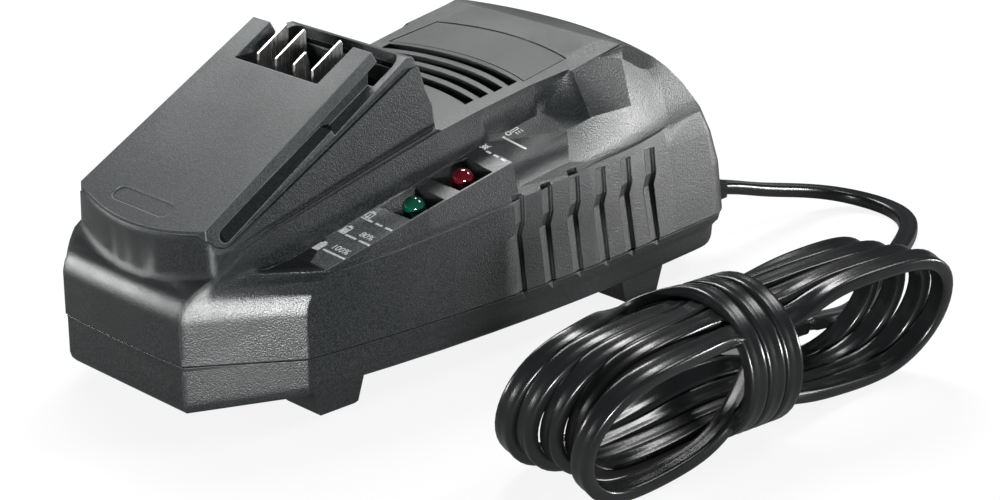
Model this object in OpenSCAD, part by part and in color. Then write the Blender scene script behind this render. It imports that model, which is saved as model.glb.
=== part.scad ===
// Battery charger for a slide-on power tool pack.
// Frame: X across (display strip on +X), Y from the nose (-Y) to the lead (+Y), Z up, feet on Z = 0.

/* [Housing] */
// Length of the housing at the parting line
body_l = 198; // [192:1:206]
// Greatest width of the housing at the parting line
body_w = 95.6; // [92:0.2:102]
// Width of the nose between its two corners
nose_w = 50.6; // [48:0.2:53]
// Length of the slanted facet behind each nose corner
facet_l = 26; // [22:1:30]
// How far the side bows in at each end of its arc
side_bow = 4.3; // [3:0.1:6]
// How far the rear wall bows out over the half width
rear_bow = 11; // [8:0.5:13]
// Radius of the rear corners in plan
corner_r = 12; // [9:0.5:15]
// Height of the parting line between the shells
parting_z = 18.8; // [17:0.2:21]
// Height of the top at the rear end of the hump
hump_z = 75.6; // [73:0.2:78]
// Radius of the rear wall seen from the side
rear_r = 65.3; // [60:0.5:72]
// Wall thickness of both shells
wall_t = 2.4; // [1.8:0.1:3]

/* [Battery dock] */
// Width of the dock plate at its front end
dock_w = 52; // [49:0.5:54]
// Narrowing of each plate edge over the plate's run
dock_taper = 2.3; // [1:0.1:3]
// Slope of the plate
dock_angle = 30.6; // [28:0.2:33]
// Run of the plate along Y
dock_run = 58; // [54:1:62]
// Height of the plate's front edge
dock_front_z = 53.8; // [52:0.2:56]
// Thickness of the plate above the rail grooves
plate_t = 3.4; // [2.6:0.1:4]
// Width of the narrow part of a rail groove
groove_w = 4.2; // [4.1:0.1:4.6]
// Width of the lead-in part of a rail groove
groove_wide = 6; // [5:0.2:7]
// Depth of a rail groove
groove_d = 5; // [4.4:0.2:6]
// Width of the contact pocket
pocket_w = 34.4; // [32:0.2:37]
// Gap between the dock and the collar round it
dock_gap = 0.25; // [0.15:0.05:0.4]

/* [Contacts] */
// Pitch of the four blades
blade_pitch = 7.5; // [6.5:0.1:8.5]
// Thickness of a blade
blade_t = 0.8; // [0.6:0.1:1.2]
// Length of a full blade along Y
blade_l = 10.4; // [8:0.2:12]
// Length of the short blade along Y
blade_short_l = 5.2; // [4:0.2:7]

/* [Display strip] */
// Start of the strip behind the nose
strip_start = 35.5; // [33:0.5:38]
// Lens diameter of the two lamps
lamp_d = 6; // [5:0.2:6.6]
// Length of a lamp pocket
lamp_pocket_l = 13.6; // [12:0.2:15]
// Distance between the two lamp pockets' centres
lamp_pitch = 18; // [16:0.5:20]

/* [Vents and name plate] */
// Number of vent slots
slot_n = 4; // [2:1:5]
// Width of a vent slot
slot_w = 3; // [2.4:0.1:3.4]
// Pitch of the vent slots
slot_pitch = 5; // [4.6:0.1:5.6]
// Radius of the slot arcs
slot_r = 90; // [70:5:120]
// Depth of the name plate's recess
name_recess = 0.7; // [0.5:0.1:1]
// Length of the name plate along Y
name_l = 17.5; // [14:0.5:19]

/* [Side ribs] */
// Number of stepped ribs on each side
rib_n = 6; // [3:1:7]
// Pitch of the ribs
rib_pitch = 11.2; // [10:0.2:12]
// Width of one rib's ramp
rib_w = 3.4; // [2.6:0.1:4]
// Depth of one rib's step
rib_d = 0.9; // [0.5:0.1:1.2]

/* [Base] */
// Height of the feet
foot_h = 8; // [6:0.5:10]
// Length of a foot along Y
foot_l = 13; // [10:0.5:16]
// Width of a foot across X
foot_w = 15; // [12:0.5:18]
// Distance between the front and rear feet, centre to centre
foot_span = 115; // [105:1:120]
// Diameter of the housing screws' thread
screw_d = 3; // [2.6:0.1:3.5]

/* [Circuit] */
// Thickness of the circuit board
pcb_t = 1.6; // [1.2:0.2:2]
// Length of the circuit board
pcb_l = 124; // [115:1:128]
// Width of the circuit board
pcb_w = 68; // [60:1:70]
// Height of the board's underside above the floor of the base shell
pcb_lift = 5; // [4:0.5:7]

/* [Mains lead] */
// Width of the flat lead
lead_w = 5.8; // [5:0.1:6.2]
// Thickness of the flat lead
lead_t = 3.6; // [3:0.1:4]
// Length of the strain relief's taper outside the housing
relief_l = 9; // [8:1:20]

/* [Hidden] */

fn_round = 40;
fn_fine = 24;

// ---- places along Y, each from the end that it belongs to ----
nose_y = -body_l / 2;
rear_y = body_l / 2;
kink_y = nose_y + facet_l + 0.4;
plate_y = nose_y + 8;
dock_end_y = plate_y + dock_run;
dock_back_y = dock_end_y + 14.5;
strip_y = nose_y + strip_start;
hump_rear_y = rear_y - 40.7;
wide = body_w / 95.6;
grade = tan(dock_angle);
function plate_z(y) = dock_front_z + (y - plate_y) * grade;

// ---- outline of the housing in plan ----
body_half = body_w / 2;
nose_half = nose_w / 2;
rear_z0 = 15;
rear_c = rear_y - sqrt(rear_r * rear_r - pow(parting_z - rear_z0, 2));
bow_r = (pow(body_half, 2) + rear_bow * rear_bow) / (2 * rear_bow);
facet_top = [[parting_z, -0.4], [30, -0.2], [32, 0.2], [34, 0.8], [36, 1.9], [37.5, 3.3], [39, 5.4], [40.5, 9]];
lean_deg = [[-75, 1.2], [0, 3.2], [57, 7.3], [80, 6.4]];

// The rear corners get sharper with the height: share of corner_r at height z
corner_share = [[parting_z, 1], [34, 0.6], [44, 0.35], [52, 0.18], [60, 0.15]];

// Distance of the rear wall at height z, on the middle plane
function rear_at(z) = rear_c + sqrt(max(rear_r * rear_r - pow(z - rear_z0, 2), 1));
// Half width of the side wall at place y and height z
function side_at(y, z) = body_half - side_bow * pow(y / 73, 2)
    - max(z - parting_z, 0) * tan(lookup(y, lean_deg));

n_nose = 3;
n_side = 8;
n_corner = 5;
n_rear = 6;

// Right half of the plan at height z, pulled in by t, from the middle of the nose to the rear.
// With front set, the facets round over at the top, and the sides and rear stand clear outside.
function half_plan(z, t, front) =
    let (sh = front ? lookup(z, facet_top) : 0,
        out = front ? 4 : 0,
        ny = nose_y + sh + t,
        nh = nose_half - t * 0.4,
        ky = kink_y + sh + t * 0.6,
        side_y = kink_y + 12,
        ry = rear_at(z) - t + out,
        rb = bow_r - t,
        hw = side_at(rear_y - 22, z) - t + out,
        cr = corner_r * lookup(z, corner_share),
        cx = hw - cr,
        cy = ry - rb + sqrt(pow(rb - cr, 2) - cx * cx),
        turn = atan2(cy - (ry - rb), cx))
    concat(
        [for (i = [0 : n_nose - 1]) [nh * i / n_nose, ny - 0.6 * (1 - pow(i / n_nose, 2))]],
        [[nh, ny], [side_at(ky, z) - t, ky]],
        [for (i = [0 : n_side]) let (y = side_y + (cy - side_y) * i / n_side)
            [i == n_side ? hw : side_at(y, z) - t + out, y]],
        [for (i = [1 : n_corner]) [cx + cr * cos(turn * i / n_corner),
            cy + cr * sin(turn * i / n_corner)]],
        [for (i = [1 : n_rear]) let (a = turn + (90 - turn) * i / n_rear)
            [rb * cos(a), ry - rb + rb * sin(a)]]);

// Whole ring at height z, anticlockwise seen from above
function ring(z, t, front, at_z) =
    let (h = half_plan(z, t, front), n = len(h))
    concat([for (p = h) [p[0], p[1], at_z]],
        [for (i = [n - 2 : -1 : 1]) [-h[i][0], h[i][1], at_z]]);

// A half outline and its mirror image as one polygon
function both_sides(h) = concat(h, [for (i = [len(h) - 1 : -1 : 0]) [-h[i][0], h[i][1]]]);

// Closed skin through rings that have equally many points, each anticlockwise seen from the last one
module skin(rings) {
    n = len(rings[0]);
    m = len(rings);
    points = [for (r = rings) for (p = r) p];
    walls = [for (j = [0 : m - 2]) for (i = [0 : n - 1]) let (k = (i + 1) % n)
        [j * n + i, (j + 1) * n + i, (j + 1) * n + k, j * n + k]];
    polyhedron(points, concat(walls, [[for (i = [0 : n - 1]) i]],
        [[for (i = [n - 1 : -1 : 0]) (m - 1) * n + i]]), convexity = 6);
}

// Everything inside the walls of the upper shell, up to the rear wall's curve, from foot_z up
module envelope(t, front, foot_z) {
    levels = front ? [30, 32, 34, 36, 37.5, 39, 40.5, 60, 79] : [34, 44, 52, 60, 66, 70, 73, 75, 77];
    skin(concat([ring(parting_z, t, front, foot_z)], [for (z = levels) ring(z, t, front, z)]));
}

// ---- the roof over each flank: shoulder, smooth band, ridge and foot of the core's wall ----
// Each row: y, shoulder x z, band x z, ridge x z, inner x z
roof_rows = [
    [-101, 40, 36.6, 36, 37.2, 30, 37.7, 24, 38],
    [-91, 42, 38.6, 38, 38.8, 33, 39, 28, 39],
    [-82, 44, 39.2, 40, 39.8, 36, 40.6, 28, 41.2],
    [-72.6, 45.4, 39.4, 43.3, 40, 41, 40.7, 28, 41.8],
    [-65, 44.6, 39.8, 43.4, 40.6, 42.6, 41, 28, 41.8],
    [-51, 44.8, 41, 44, 42.4, 43.1, 44.2, 28, 45],
    [-31, 45.3, 43, 44.7, 44.6, 43.3, 48.7, 28, 49.8],
    [0, 46.2, 45.4, 45.2, 48.2, 43.2, 54.9, 28, 57],
    [21.5, 44.9, 46.9, 43.4, 50.2, 42.4, 58.8, 28, 62],
    [31.5, 43.9, 47.8, 42.4, 51.3, 41.9, 60.3, 34, 72],
    [51, 41.5, 48.9, 39.8, 53.4, 38.6, 58.7, 33.4, 75.6],
    [66, 39.8, 50.4, 38.2, 54.4, 37.1, 58.3, 33.6, 77],
    [100, 37.6, 53, 36.7, 56, 36.1, 58.2, 32.6, 79],
    [104, 42, 50, 36, 54, 32, 56, 28, 57]];

// Right half of the roof's section in row r, lowered and pulled in by t, clockwise from the middle
function roof_section(r, t) =
    [[r[7] - t, r[8] - t], [r[5] - t, r[6] - t], [r[3] - t, r[4] - t], [r[1] - t, r[2] - t],
        [r[1] + 14 - t, r[2] - 14 - t], [r[1] + 14 - t, parting_z - 8]];

module roof(t) {
    stretch = body_l / 198;
    skin([for (r = roof_rows) [for (p = both_sides(roof_section(r, t)))
        [p[0] * wide, r[0] * stretch, p[1]]]]);
}

// Start of the display strip: its floor is let in behind a lip that runs parallel to the nose facet
module strip_start_cut() {
    intersection() {
        mirrored() translate([0, 0, 36]) linear_extrude(20)
            polygon([[26, nose_y + 15], [43.6 * wide, nose_y + 38], [44.4 * wide, nose_y + 50],
                [26, nose_y + 50]]);
        along_x(body_w) polygon([[nose_y + 12, 39.3], [nose_y + 17.5, 39.9], [nose_y + 33, 41.1],
            [nose_y + 50, 45.5], [nose_y + 50, 60], [nose_y + 12, 60]]);
    }
}

// ---- the core: nose, sloping top and hump, straight across X ----
nose_arc_r = 12.2;
function core_profile(t) = concat(
    [[nose_y + 0.6 + t, parting_z - 8]],
    [for (a = [180 : -11 : 125]) [nose_y + 0.6 + nose_arc_r + (nose_arc_r - t) * cos(a),
        30 + (nose_arc_r - t) * sin(a)]],
    [[nose_y + 16.8, 47 - t], [nose_y + 27.8, 50.2 - t], [nose_y + 85, 64 - t],
        [hump_rear_y - 40.6, 70 - t], [hump_rear_y - 7, hump_z - 0.4 - t],
        [hump_rear_y + 3, hump_z - t], [rear_y + 4, hump_z - t], [rear_y + 4, parting_z - 8]]);

function core_plan(t) = [[nose_half - t, nose_y - 2], [nose_half - t, nose_y + 1],
    [29 - t, nose_y + 7], [30 - t, nose_y + 16], [30.5 - t, nose_y + 99], [31.5 - t, nose_y + 118],
    [34.6 - t, hump_rear_y - 7], [35.4 - t, hump_rear_y + 3], [36 - t, rear_y + 4]];

module along_x(w) {
    translate([-w / 2, 0, 0]) rotate([90, 0, 90]) linear_extrude(w) children();
}

module mirrored() {
    children();
    mirror([1, 0, 0]) children();
}

module core(t) {
    intersection() {
        along_x(body_w) polygon(core_profile(t));
        translate([0, 0, parting_z - 8]) linear_extrude(90) polygon(both_sides(core_plan(t)));
    }
}

// Upper form without its dock, pulled in by t, from foot_z up
module upper_form(t, foot_z) {
    intersection() {
        envelope(t, false, foot_z);
        union() {
            core(t);
            intersection() {
                envelope(t, true, foot_z);
                difference() {
                    roof(t);
                    if (t == 0) strip_start_cut();
                }
            }
        }
    }
}

// ---- the dock's form, shared by the dock and by the collar that holds it ----
dock_side_z = 45;
dock_half = dock_w / 2 + 1.2;
dock_lean = dock_taper / (dock_run * grade);
dock_bow = 4.4;
dock_bow_r = (pow(dock_w / 2, 2) + dock_bow * dock_bow) / (2 * dock_bow);
collar_proud = 1.1;
collar_in = 1;
collar_t = 2;
skirt_t = 1.8;
hood_z = dock_front_z + 30.4;
hood_t = 1.7;
hood_y = dock_back_y;
well_z = hood_z - 12;
pocket_y = dock_end_y - 10.4;
rail_z = -plate_t - groove_w / 2;
rail_start = 4.4;
rail_step = 45.5;

// Half width of the dock at height z
function dock_x(z, more) = dock_half + more - (z - dock_side_z) * dock_lean;

module dock_sides(more) {
    translate([0, rear_y, 0]) rotate([90, 0, 0]) linear_extrude(body_l * 2)
        polygon([[-dock_x(30, more), 30], [dock_x(30, more), 30], [dock_x(100, more), 100],
            [-dock_x(100, more), 100]]);
}

// Side view of the dock with its hood, pulled in by t
function dock_side(t) = [[plate_y - 8 + t, 30], [plate_y - 8 + t, plate_z(plate_y - 8) - t],
    [dock_end_y, plate_z(dock_end_y) - t], [dock_end_y + 1.7, plate_z(dock_end_y) - 2.8 - t],
    [dock_end_y + 1.7, hood_z - 4.6 - t], [dock_end_y + 8.6, hood_z - t], [hood_y - 0.6 - t, hood_z - t],
    [hood_y - t, hood_z - 0.6 - t], [hood_y + 2.4 - t, hood_z - 9], [hood_y + 4.6 - t, hood_z - 13.8],
    [hood_y + 5.2 - t, hood_z - 20.1], [hood_y + 5.2 - t, 30]];

module dock_front(t) {
    translate([0, plate_y - dock_bow + t + dock_bow_r - t, 0])
        cylinder(h = 120, r = dock_bow_r - t, $fn = 120);
}

module dock_form(t, more) {
    intersection() {
        along_x(body_w) polygon(dock_side(t));
        dock_sides(more - t);
        dock_front(t);
    }
}

// Side view of all that lies above the parting line between the dock and the collar
module above_split(lift) {
    y0 = plate_y;
    along_x(body_w) polygon([[y0 - 9, 110], [y0 - 9, plate_z(y0 - 9) - 0.9 + lift],
        [y0 - 0.6, plate_z(y0 - 0.6) - 1.1 + lift], [y0 + 0.8, plate_z(y0) - 3.2 + lift],
        [y0 + 2.6, plate_z(y0) - 4.8 + lift], [y0 + 4.8, plate_z(y0) - 5.6 + lift],
        [y0 + 7, plate_z(y0) - 5.4 + lift], [hood_y - 1.9, hood_z - 2.8 + lift],
        [rear_y, hood_z - 2.8 + lift], [rear_y, 110]]);
}

// Children in the plate's own frame: Y up the slope, Z out of the plate, origin at its front edge
module on_plate() {
    translate([0, plate_y, dock_front_z]) rotate([dock_angle, 0, 0]) children();
}

module rail_grooves() {
    far = 80;
    mirrored() on_plate() {
        translate([dock_half - groove_d - 1.4, rail_start, rail_z - groove_w / 2])
            cube([20, far - rail_start, groove_w]);
        translate([dock_half - groove_d - 1.4, rail_start, rail_z]) rotate([0, 90, 0])
            cylinder(h = 20, r = groove_w / 2, $fn = fn_fine);
        translate([dock_half - groove_d - 1.4, rail_step, -plate_t - groove_wide])
            cube([20, far - rail_step, groove_wide]);
    }
}

// Upright opening with rounded rear corners, from y0 to y1
module rounded_well(hw, y0, y1, r, z0, z1) {
    translate([0, 0, z0]) linear_extrude(z1 - z0) {
        translate([-hw, y0]) square([2 * hw, y1 - y0 - r]);
        translate([-hw + r, y0]) square([2 * (hw - r), y1 - y0]);
        mirrored() translate([hw - r, y1 - r]) circle(r = r, $fn = fn_round);
    }
}

bridge_y = plate_y + 37;
bridge_z = parting_z + 27.2;
bridge_t = 3;
dock_screw_x = 12;
post_r = 3.2;
pilot_r = 1.25;
badge_l = 24;
badge_w = 5;

module battery_dock() {
    color([0.30, 0.32, 0.33]) difference() {
        union() {
            intersection() {
                dock_form(0, 0);
                above_split(0);
            }
            difference() {
                dock_form(collar_t + dock_gap, collar_t - collar_in);
                dock_form(collar_t + dock_gap + skirt_t, collar_t - collar_in);
                translate([-body_w, -body_l, 0]) cube([2 * body_w, 2 * body_l, bridge_z + bridge_t]);
                translate([-body_w, -body_l, 0])
                    cube([2 * body_w, body_l + plate_y + 6, dock_front_z - 1]);
            }
        }
        rail_grooves();
        // hollow under the plate, between the rails
        on_plate() translate([-19, 6, -14]) cube([38, 44, 11]);
        // hollow under the rails and the pocket
        intersection() {
            along_x(body_w) polygon([[plate_y + 8, 20], [plate_y + 8, plate_z(plate_y + 8) - 11.6],
                [pocket_y - 1, plate_z(pocket_y - 1) - 11.6], [pocket_y, well_z - 2.2],
                [hood_y + 1.4, well_z - 2.2], [hood_y + 2.6, hood_z - 20.1], [hood_y + 2.6, 20]]);
            dock_sides(-collar_in - dock_gap - skirt_t - 0.2);
        }
        // contact pocket and the well behind it
        translate([-pocket_w / 2, pocket_y, well_z]) cube([pocket_w, dock_back_y - pocket_y - 8, 40]);
        rounded_well(dock_x(hood_z, -hood_t), dock_end_y + 1.7, hood_y - hood_t, 5, well_z, 110);
        // sunk edge ahead of the pocket
        translate([-pocket_w / 2, pocket_y - 2.2, plate_z(pocket_y) - 2.4])
            cube([pocket_w, 2.3, 10]);
        // bare stadium recess near the front edge
        on_plate() translate([-1, 1.6, -0.4]) linear_extrude(2) {
            square([badge_l - badge_w, badge_w], center = true);
            mirrored() translate([(badge_l - badge_w) / 2, 0]) circle(r = badge_w / 2, $fn = fn_fine);
        }
        // slots for the blades
        blade_slots(0);
    }
    color([0.30, 0.32, 0.33]) mirrored() difference() {
        translate([dock_screw_x, bridge_y, bridge_z + bridge_t])
            cylinder(h = plate_z(bridge_y) - bridge_z - bridge_t - 3.2, r = post_r, $fn = fn_fine);
        translate([dock_screw_x, bridge_y, bridge_z + bridge_t - 1])
            cylinder(h = 11, r = pilot_r, $fn = fn_fine);
    }
}

// ---- contacts ----
blade_y = pocket_y + 1.1;
blade_foot_z = well_z - 6.2;
carrier_l = blade_l + 2.4;

function blade_len(i) = i == 2 ? blade_short_l : blade_l;

module blade_slots(gap) {
    for (i = [0 : 3])
        translate([(i - 1.5) * blade_pitch - blade_t / 2 - gap, blade_y - gap, well_z - 12])
            cube([blade_t + 2 * gap, blade_len(i) + 2 * gap, 13]);
}

module blade(i) {
    y1 = blade_y + blade_len(i);
    top = plate_z(blade_y) - 0.2;
    rise = i == 2 ? 2.6 : blade_l * grade;
    translate([(i - 1.5) * blade_pitch, 0, 0]) along_x(blade_t)
        polygon([[blade_y, blade_foot_z], [blade_y, top], [y1 - (i == 2 ? 1 : 0.4), top + rise],
            [y1, top + rise - (i == 2 ? 2.8 : 1)], [y1, blade_foot_z]]);
}

module contact_blades() {
    color([0.80, 0.79, 0.74]) for (i = [0, 1, 3]) blade(i);
}

module short_blade() {
    color([0.80, 0.79, 0.74]) blade(2);
}

module contact_carrier() {
    color([0.15, 0.15, 0.16]) difference() {
        translate([-pocket_w / 2 + 1, blade_y - 1.2, well_z - 7.4])
            cube([pocket_w - 2, carrier_l, 5.2]);
        blade_slots(0);
    }
}

// ---- upper housing ----
display_tilt = 11.7;
strip_in = 30.5;
strip_out = 43.2;
lamp_x = 37 * wide;
lamp_y = nose_y + 68.6;
lamp_cup = 6.5;

// Children in the frame of lamp i, on the surface of the display strip
module on_strip(i) {
    translate([lamp_x, lamp_y, 48.9]) rotate([display_tilt, 0, 0]) translate([0, i * lamp_pitch, 0])
        children();
}

// Inverted pyramid round a lamp
module lamp_pocket() {
    w = strip_out - strip_in - 0.6;
    l = lamp_pocket_l;
    d = lamp_cup - 1.6;
    b = lamp_d + 0.8;
    polyhedron([[-w / 2, -l / 2, 1], [w / 2, -l / 2, 1], [w / 2, l / 2, 1], [-w / 2, l / 2, 1],
        [-b / 2, -b / 2, -d], [b / 2, -b / 2, -d], [b / 2, b / 2, -d], [-b / 2, b / 2, -d]],
        [[3, 2, 1, 0], [4, 5, 6, 7], [0, 1, 5, 4], [1, 2, 6, 5], [2, 3, 7, 6], [3, 0, 4, 7]]);
}

// Plan of the name plate, pulled in by t
module name_plan(t) {
    y1 = hump_rear_y - 17.3;
    intersection() {
        translate([0, y1 - slot_r]) circle(r = slot_r - t, $fn = 120);
        polygon([[-28 + t, y1 - name_l - 4.3], [28 - t, y1 - name_l - 4.3], [26.5 - t, y1],
            [-26.5 + t, y1]]);
        difference() {
            translate([-40, y1 - 60]) square([80, 80]);
            translate([0, y1 - name_l - slot_r]) circle(r = slot_r + t, $fn = 120);
        }
    }
}

module vent_slots() {
    y0 = hump_rear_y - 37.9;
    for (i = [0 : slot_n - 1])
        translate([0, 0, parting_z + 30]) linear_extrude(40) intersection() {
            translate([0, y0 - i * slot_pitch - slot_r]) difference() {
                circle(r = slot_r + slot_w / 2, $fn = 120);
                circle(r = slot_r - slot_w / 2, $fn = 120);
            }
            translate([-26.4 + i * 0.7, y0 - i * slot_pitch - 20]) square([52.8 - i * 1.4, 40]);
        }
}

// Stepped ribs of one side, cut as ramps that deepen towards the rear
// Groove of a rib across the wall, and how its line wanders along Y with the height over the seam
rib_section = [[0.6, -rib_w - 0.8], [0.05, -rib_w], [-rib_d, 0], [-rib_d, 0.7], [0.6, 1]];
rib_wander = [[-4, 0.3], [0, 0], [16.5, -1.4], [19.8, 0.2], [29, 0.2]];
rib_first_y = 0.6;
notch_n = 3;
notch_at = [[46.2, 45.4], [44.8, 46], [44.3, 47.2]];

function rib_levels(h0, h1) = concat([h0], [for (w = rib_wander) if (w[0] > h0 && w[0] < h1) w[0]], [h1]);

module rib_cuts(z0, z1) {
    for (side = [-1, 1]) for (i = [0 : rib_n - 1]) {
        y = rib_first_y + i * rib_pitch;
        translate([side * side_at(y, parting_z), y, parting_z])
            rotate([0, -side * lookup(y, lean_deg), 0])
                skin([for (h = rib_levels(z0 - parting_z, z1 - parting_z)) [for (k = [0 : 4])
                    let (p = rib_section[side > 0 ? 4 - k : k]) [side * p[0], p[1] + lookup(h, rib_wander), h]]]);
    }
}

// short dark notches over the first ribs, in the edge of the shoulder
module rib_notches() {
    for (side = [-1, 1]) for (i = [0 : notch_n - 1])
        translate([side * (notch_at[i][0] + 0.4) - 1.6, rib_first_y + i * rib_pitch - 3.6, notch_at[i][1] - 0.4])
            cube([3.2, 4, 1.4]);
}

screw_front = [24, nose_y + 19];
screw_rear = [34, rear_y - 33];
boss_r = 4;
boss_gap = 0.1;

module at_housing_screws() {
    mirrored() {
        translate(screw_front) children();
        translate(screw_rear) children();
    }
}

relief_x = 26;
relief_hole_w = lead_w + 3.4;
relief_hole_t = lead_t + 3;

module upper_housing() {
    color([0.27, 0.29, 0.30]) difference() {
        union() {
            difference() {
                upper_form(0, parting_z);
                upper_form(wall_t, parting_z - 1);
            }
            // collar round the dock
            difference() {
                intersection() {
                    dock_form(0, collar_proud);
                    translate([-body_w / 2, -body_l / 2, bridge_z - 8]) cube([body_w, body_l, 60]);
                }
                above_split(0);
            }
            // cups of the lamps
            intersection() {
                upper_form(0.5, parting_z - 1);
                for (i = [0, 1]) on_strip(i)
                    translate([-6.4, -8.4, -lamp_cup]) cube([13, 16.8, lamp_cup]);
            }
            // screw bosses, clipped by the outer form
            intersection() {
                upper_form(0.5, parting_z);
                at_housing_screws() translate([0, 0, parting_z]) cylinder(h = 60, r = boss_r, $fn = fn_fine);
            }
        }
        // opening for the dock
        dock_form(collar_t, collar_t - collar_in);
        vent_slots();
        intersection() {
            translate([0, 0, 50]) linear_extrude(40) name_plan(0);
            difference() {
                core(-3);
                core(name_recess);
            }
        }
        for (i = [0, 1]) on_strip(i) {
            lamp_pocket();
            translate([0, 0, -20]) cylinder(h = 30, r = lamp_d / 2 + 0.1, $fn = fn_round);
        }
        rib_cuts(parting_z - 1, 46);
        rib_notches();
        at_housing_screws() translate([0, 0, parting_z - 1]) cylinder(h = 14, r = screw_d / 2, $fn = fn_fine);
        // notch over the lead's bushing
        translate([relief_x - relief_hole_w / 2, rear_y - 12, parting_z - 1])
            cube([relief_hole_w, 20, relief_hole_t / 2 + 1]);
    }
    // bridge that the dock is screwed to
    color([0.27, 0.29, 0.30]) difference() {
        intersection() {
            upper_form(0.5, parting_z);
            translate([-body_w / 2, bridge_y - 4, bridge_z]) cube([body_w, 8, bridge_t]);
        }
        mirrored() translate([dock_screw_x, bridge_y, bridge_z - 1])
            cylinder(h = bridge_t + 2, r = screw_d / 2 + boss_gap, $fn = fn_fine);
    }
}

// ---- name plate: a bare plate in the recess on the hump ----
module name_plate() {
    color([0.34, 0.36, 0.37]) intersection() {
        translate([0, 0, 50]) linear_extrude(40) name_plan(0.4);
        difference() {
            core(0.1);
            core(name_recess);
        }
    }
}

// ---- lamps ----
module lamp(i) {
    on_strip(i) {
        translate([0, 0, -1.8]) sphere(r = lamp_d / 2, $fn = fn_round);
        translate([0, 0, -lamp_cup - 1]) cylinder(h = lamp_cup - 0.8, r = lamp_d / 2, $fn = fn_round);
        translate([0, 0, -lamp_cup - 1]) cylinder(h = 1, r = lamp_d / 2 + 0.5, $fn = fn_round);
    }
}

module green_lamp() {
    color([0.0, 0.35, 0.2]) lamp(0);
}

module red_lamp() {
    color([0.45, 0.03, 0.08]) lamp(1);
}

module lamp_board() {
    color([0.1, 0.35, 0.2]) on_strip(0)
        translate([-6, -11, -lamp_cup - 1 - pcb_t]) cube([11 * wide - (1 - wide) * 20, lamp_pitch + 21, pcb_t]);
}

// ---- lower housing ----
base_z = foot_h;
floor_z = base_z + wall_t;
// Height above the table and inset from the seam's outline: the tub stands back under a rolled rim
base_insets = [[base_z, 4], [base_z + 0.9, 2.9], [base_z + 2.4, 2.4], [base_z + 6.2, 2.2], [base_z + 7.2, 1.6],
    [base_z + 8.4, 0.7], [parting_z, 0.3]];
boss_bore = screw_d / 2 + 0.2;
head_r = screw_d * 0.92;
head_h = 2.2;
head_z = floor_z + 0.6;

module base_skin(t, z0) {
    skin([for (b = base_insets) ring(parting_z, b[1] + t, false,
        z0 + (b[0] - base_z) * (parting_z + (t > 0 ? 1 : 0) - z0) / (parting_z - base_z))]);
}

// Chin under the nose: flush with the seam, it hangs lowest at the nose and runs out into the tub
chin_z = base_z - 3.6;
chin_rise = 6.4;
chin_flush = 0.3;
chin_rear = [[nose_y + 54, 0.6], [nose_y + 84, 2.6]];

function chin_ring(z, rise, in) = let (h = concat([[nose_half - chin_flush - in * 0.6, nose_y + 0.4 + in],
        [side_at(kink_y, parting_z) - chin_flush - in, kink_y]],
        [for (c = chin_rear) [side_at(c[0], parting_z) - c[1] - in, c[0]]]))
    [for (p = both_sides(h)) [p[0], p[1], z + rise * (p[1] - nose_y) / (chin_rear[0][0] - nose_y)]];

module chin() {
    rolled = [[0, 3], [0.7, 1.4], [2, 0.4], [3.6, 0]];
    skin(concat([for (r = rolled) chin_ring(chin_z + r[0], chin_rise, r[1])], [chin_ring(parting_z, 0, 0)]));
}

pcb_y = nose_y + 35;
pcb_z = floor_z + pcb_lift;
pcb_top = pcb_z + pcb_t;
board_l = min(pcb_l, rear_y - 29 - pcb_y);
board_end = pcb_y + board_l;
stand_x = pcb_w / 2 - 5;
stand_y = [pcb_y + 8, board_end - 8];

module at_board_screws() {
    mirrored() for (y = stand_y) translate([stand_x, y]) children();
}

// A foot tapers downwards and has a small bevel round its sole
foot_x = 33.2;
function foot_ring(x, y, in, out_y, z) = let (w = foot_w / 2 - 0.3 - in, l = foot_l / 2 - in + out_y)
    [[x - w, y - l, z], [x + w, y - l, z], [x + w, y + l, z], [x - w, y + l, z]];

module foot(x, y) {
    skin([foot_ring(x, y, 0.7, 0, 0), foot_ring(x, y, 0.1, 0.2, 0.7), foot_ring(x, y, -0.2, 2.3, base_z + 1.2)]);
}

module lower_housing() {
    color([0.25, 0.27, 0.28]) difference() {
        union() {
            difference() {
                union() {
                    base_skin(0, base_z);
                    chin();
                }
                base_skin(wall_t, floor_z);
            }
            at_housing_screws() translate([0, 0, base_z + 0.5])
                cylinder(h = parting_z - base_z - 0.5, r = boss_r + 0.6, $fn = fn_fine);
            at_board_screws() translate([0, 0, floor_z - 0.5])
                cylinder(h = pcb_z - floor_z + 0.5, r = 3, $fn = fn_fine);
            // four moulded feet
            for (x = [-foot_x, foot_x]) for (y = [-foot_span / 2 - 2.6, foot_span / 2 - 2.6]) foot(x, y);
            // clamp seat for the lead
            translate([relief_x - 9, rear_y - 24, floor_z - 0.5]) cube([18, 8, clamp_z - floor_z + 0.5]);
        }
        at_housing_screws() {
            translate([0, 0, base_z - 1]) cylinder(h = head_z - base_z + 1, r = head_r + 0.3, $fn = fn_fine);
            translate([0, 0, base_z - 1]) cylinder(h = 20, r = boss_bore, $fn = fn_fine);
        }
        at_board_screws() translate([0, 0, floor_z]) cylinder(h = 10, r = screw_d / 2, $fn = fn_fine);
        rib_cuts(parting_z - 3.5, parting_z + 1);
        // rows of air slots under the board
        for (i = [-3 : 3]) translate([-15, i * 9 - 1.25, base_z - 1]) cube([30, 2.5, wall_t + 2]);
        // half of the lead's bushing seat
        translate([relief_x - relief_hole_w / 2, rear_y - 12, parting_z - relief_hole_t / 2])
            cube([relief_hole_w, 20, relief_hole_t]);
        translate([relief_x, rear_y - 20, floor_z]) mirrored() translate([6.4, 0, 0])
            cylinder(h = 20, r = screw_d / 2 - 0.25, $fn = fn_fine);
    }
}

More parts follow.
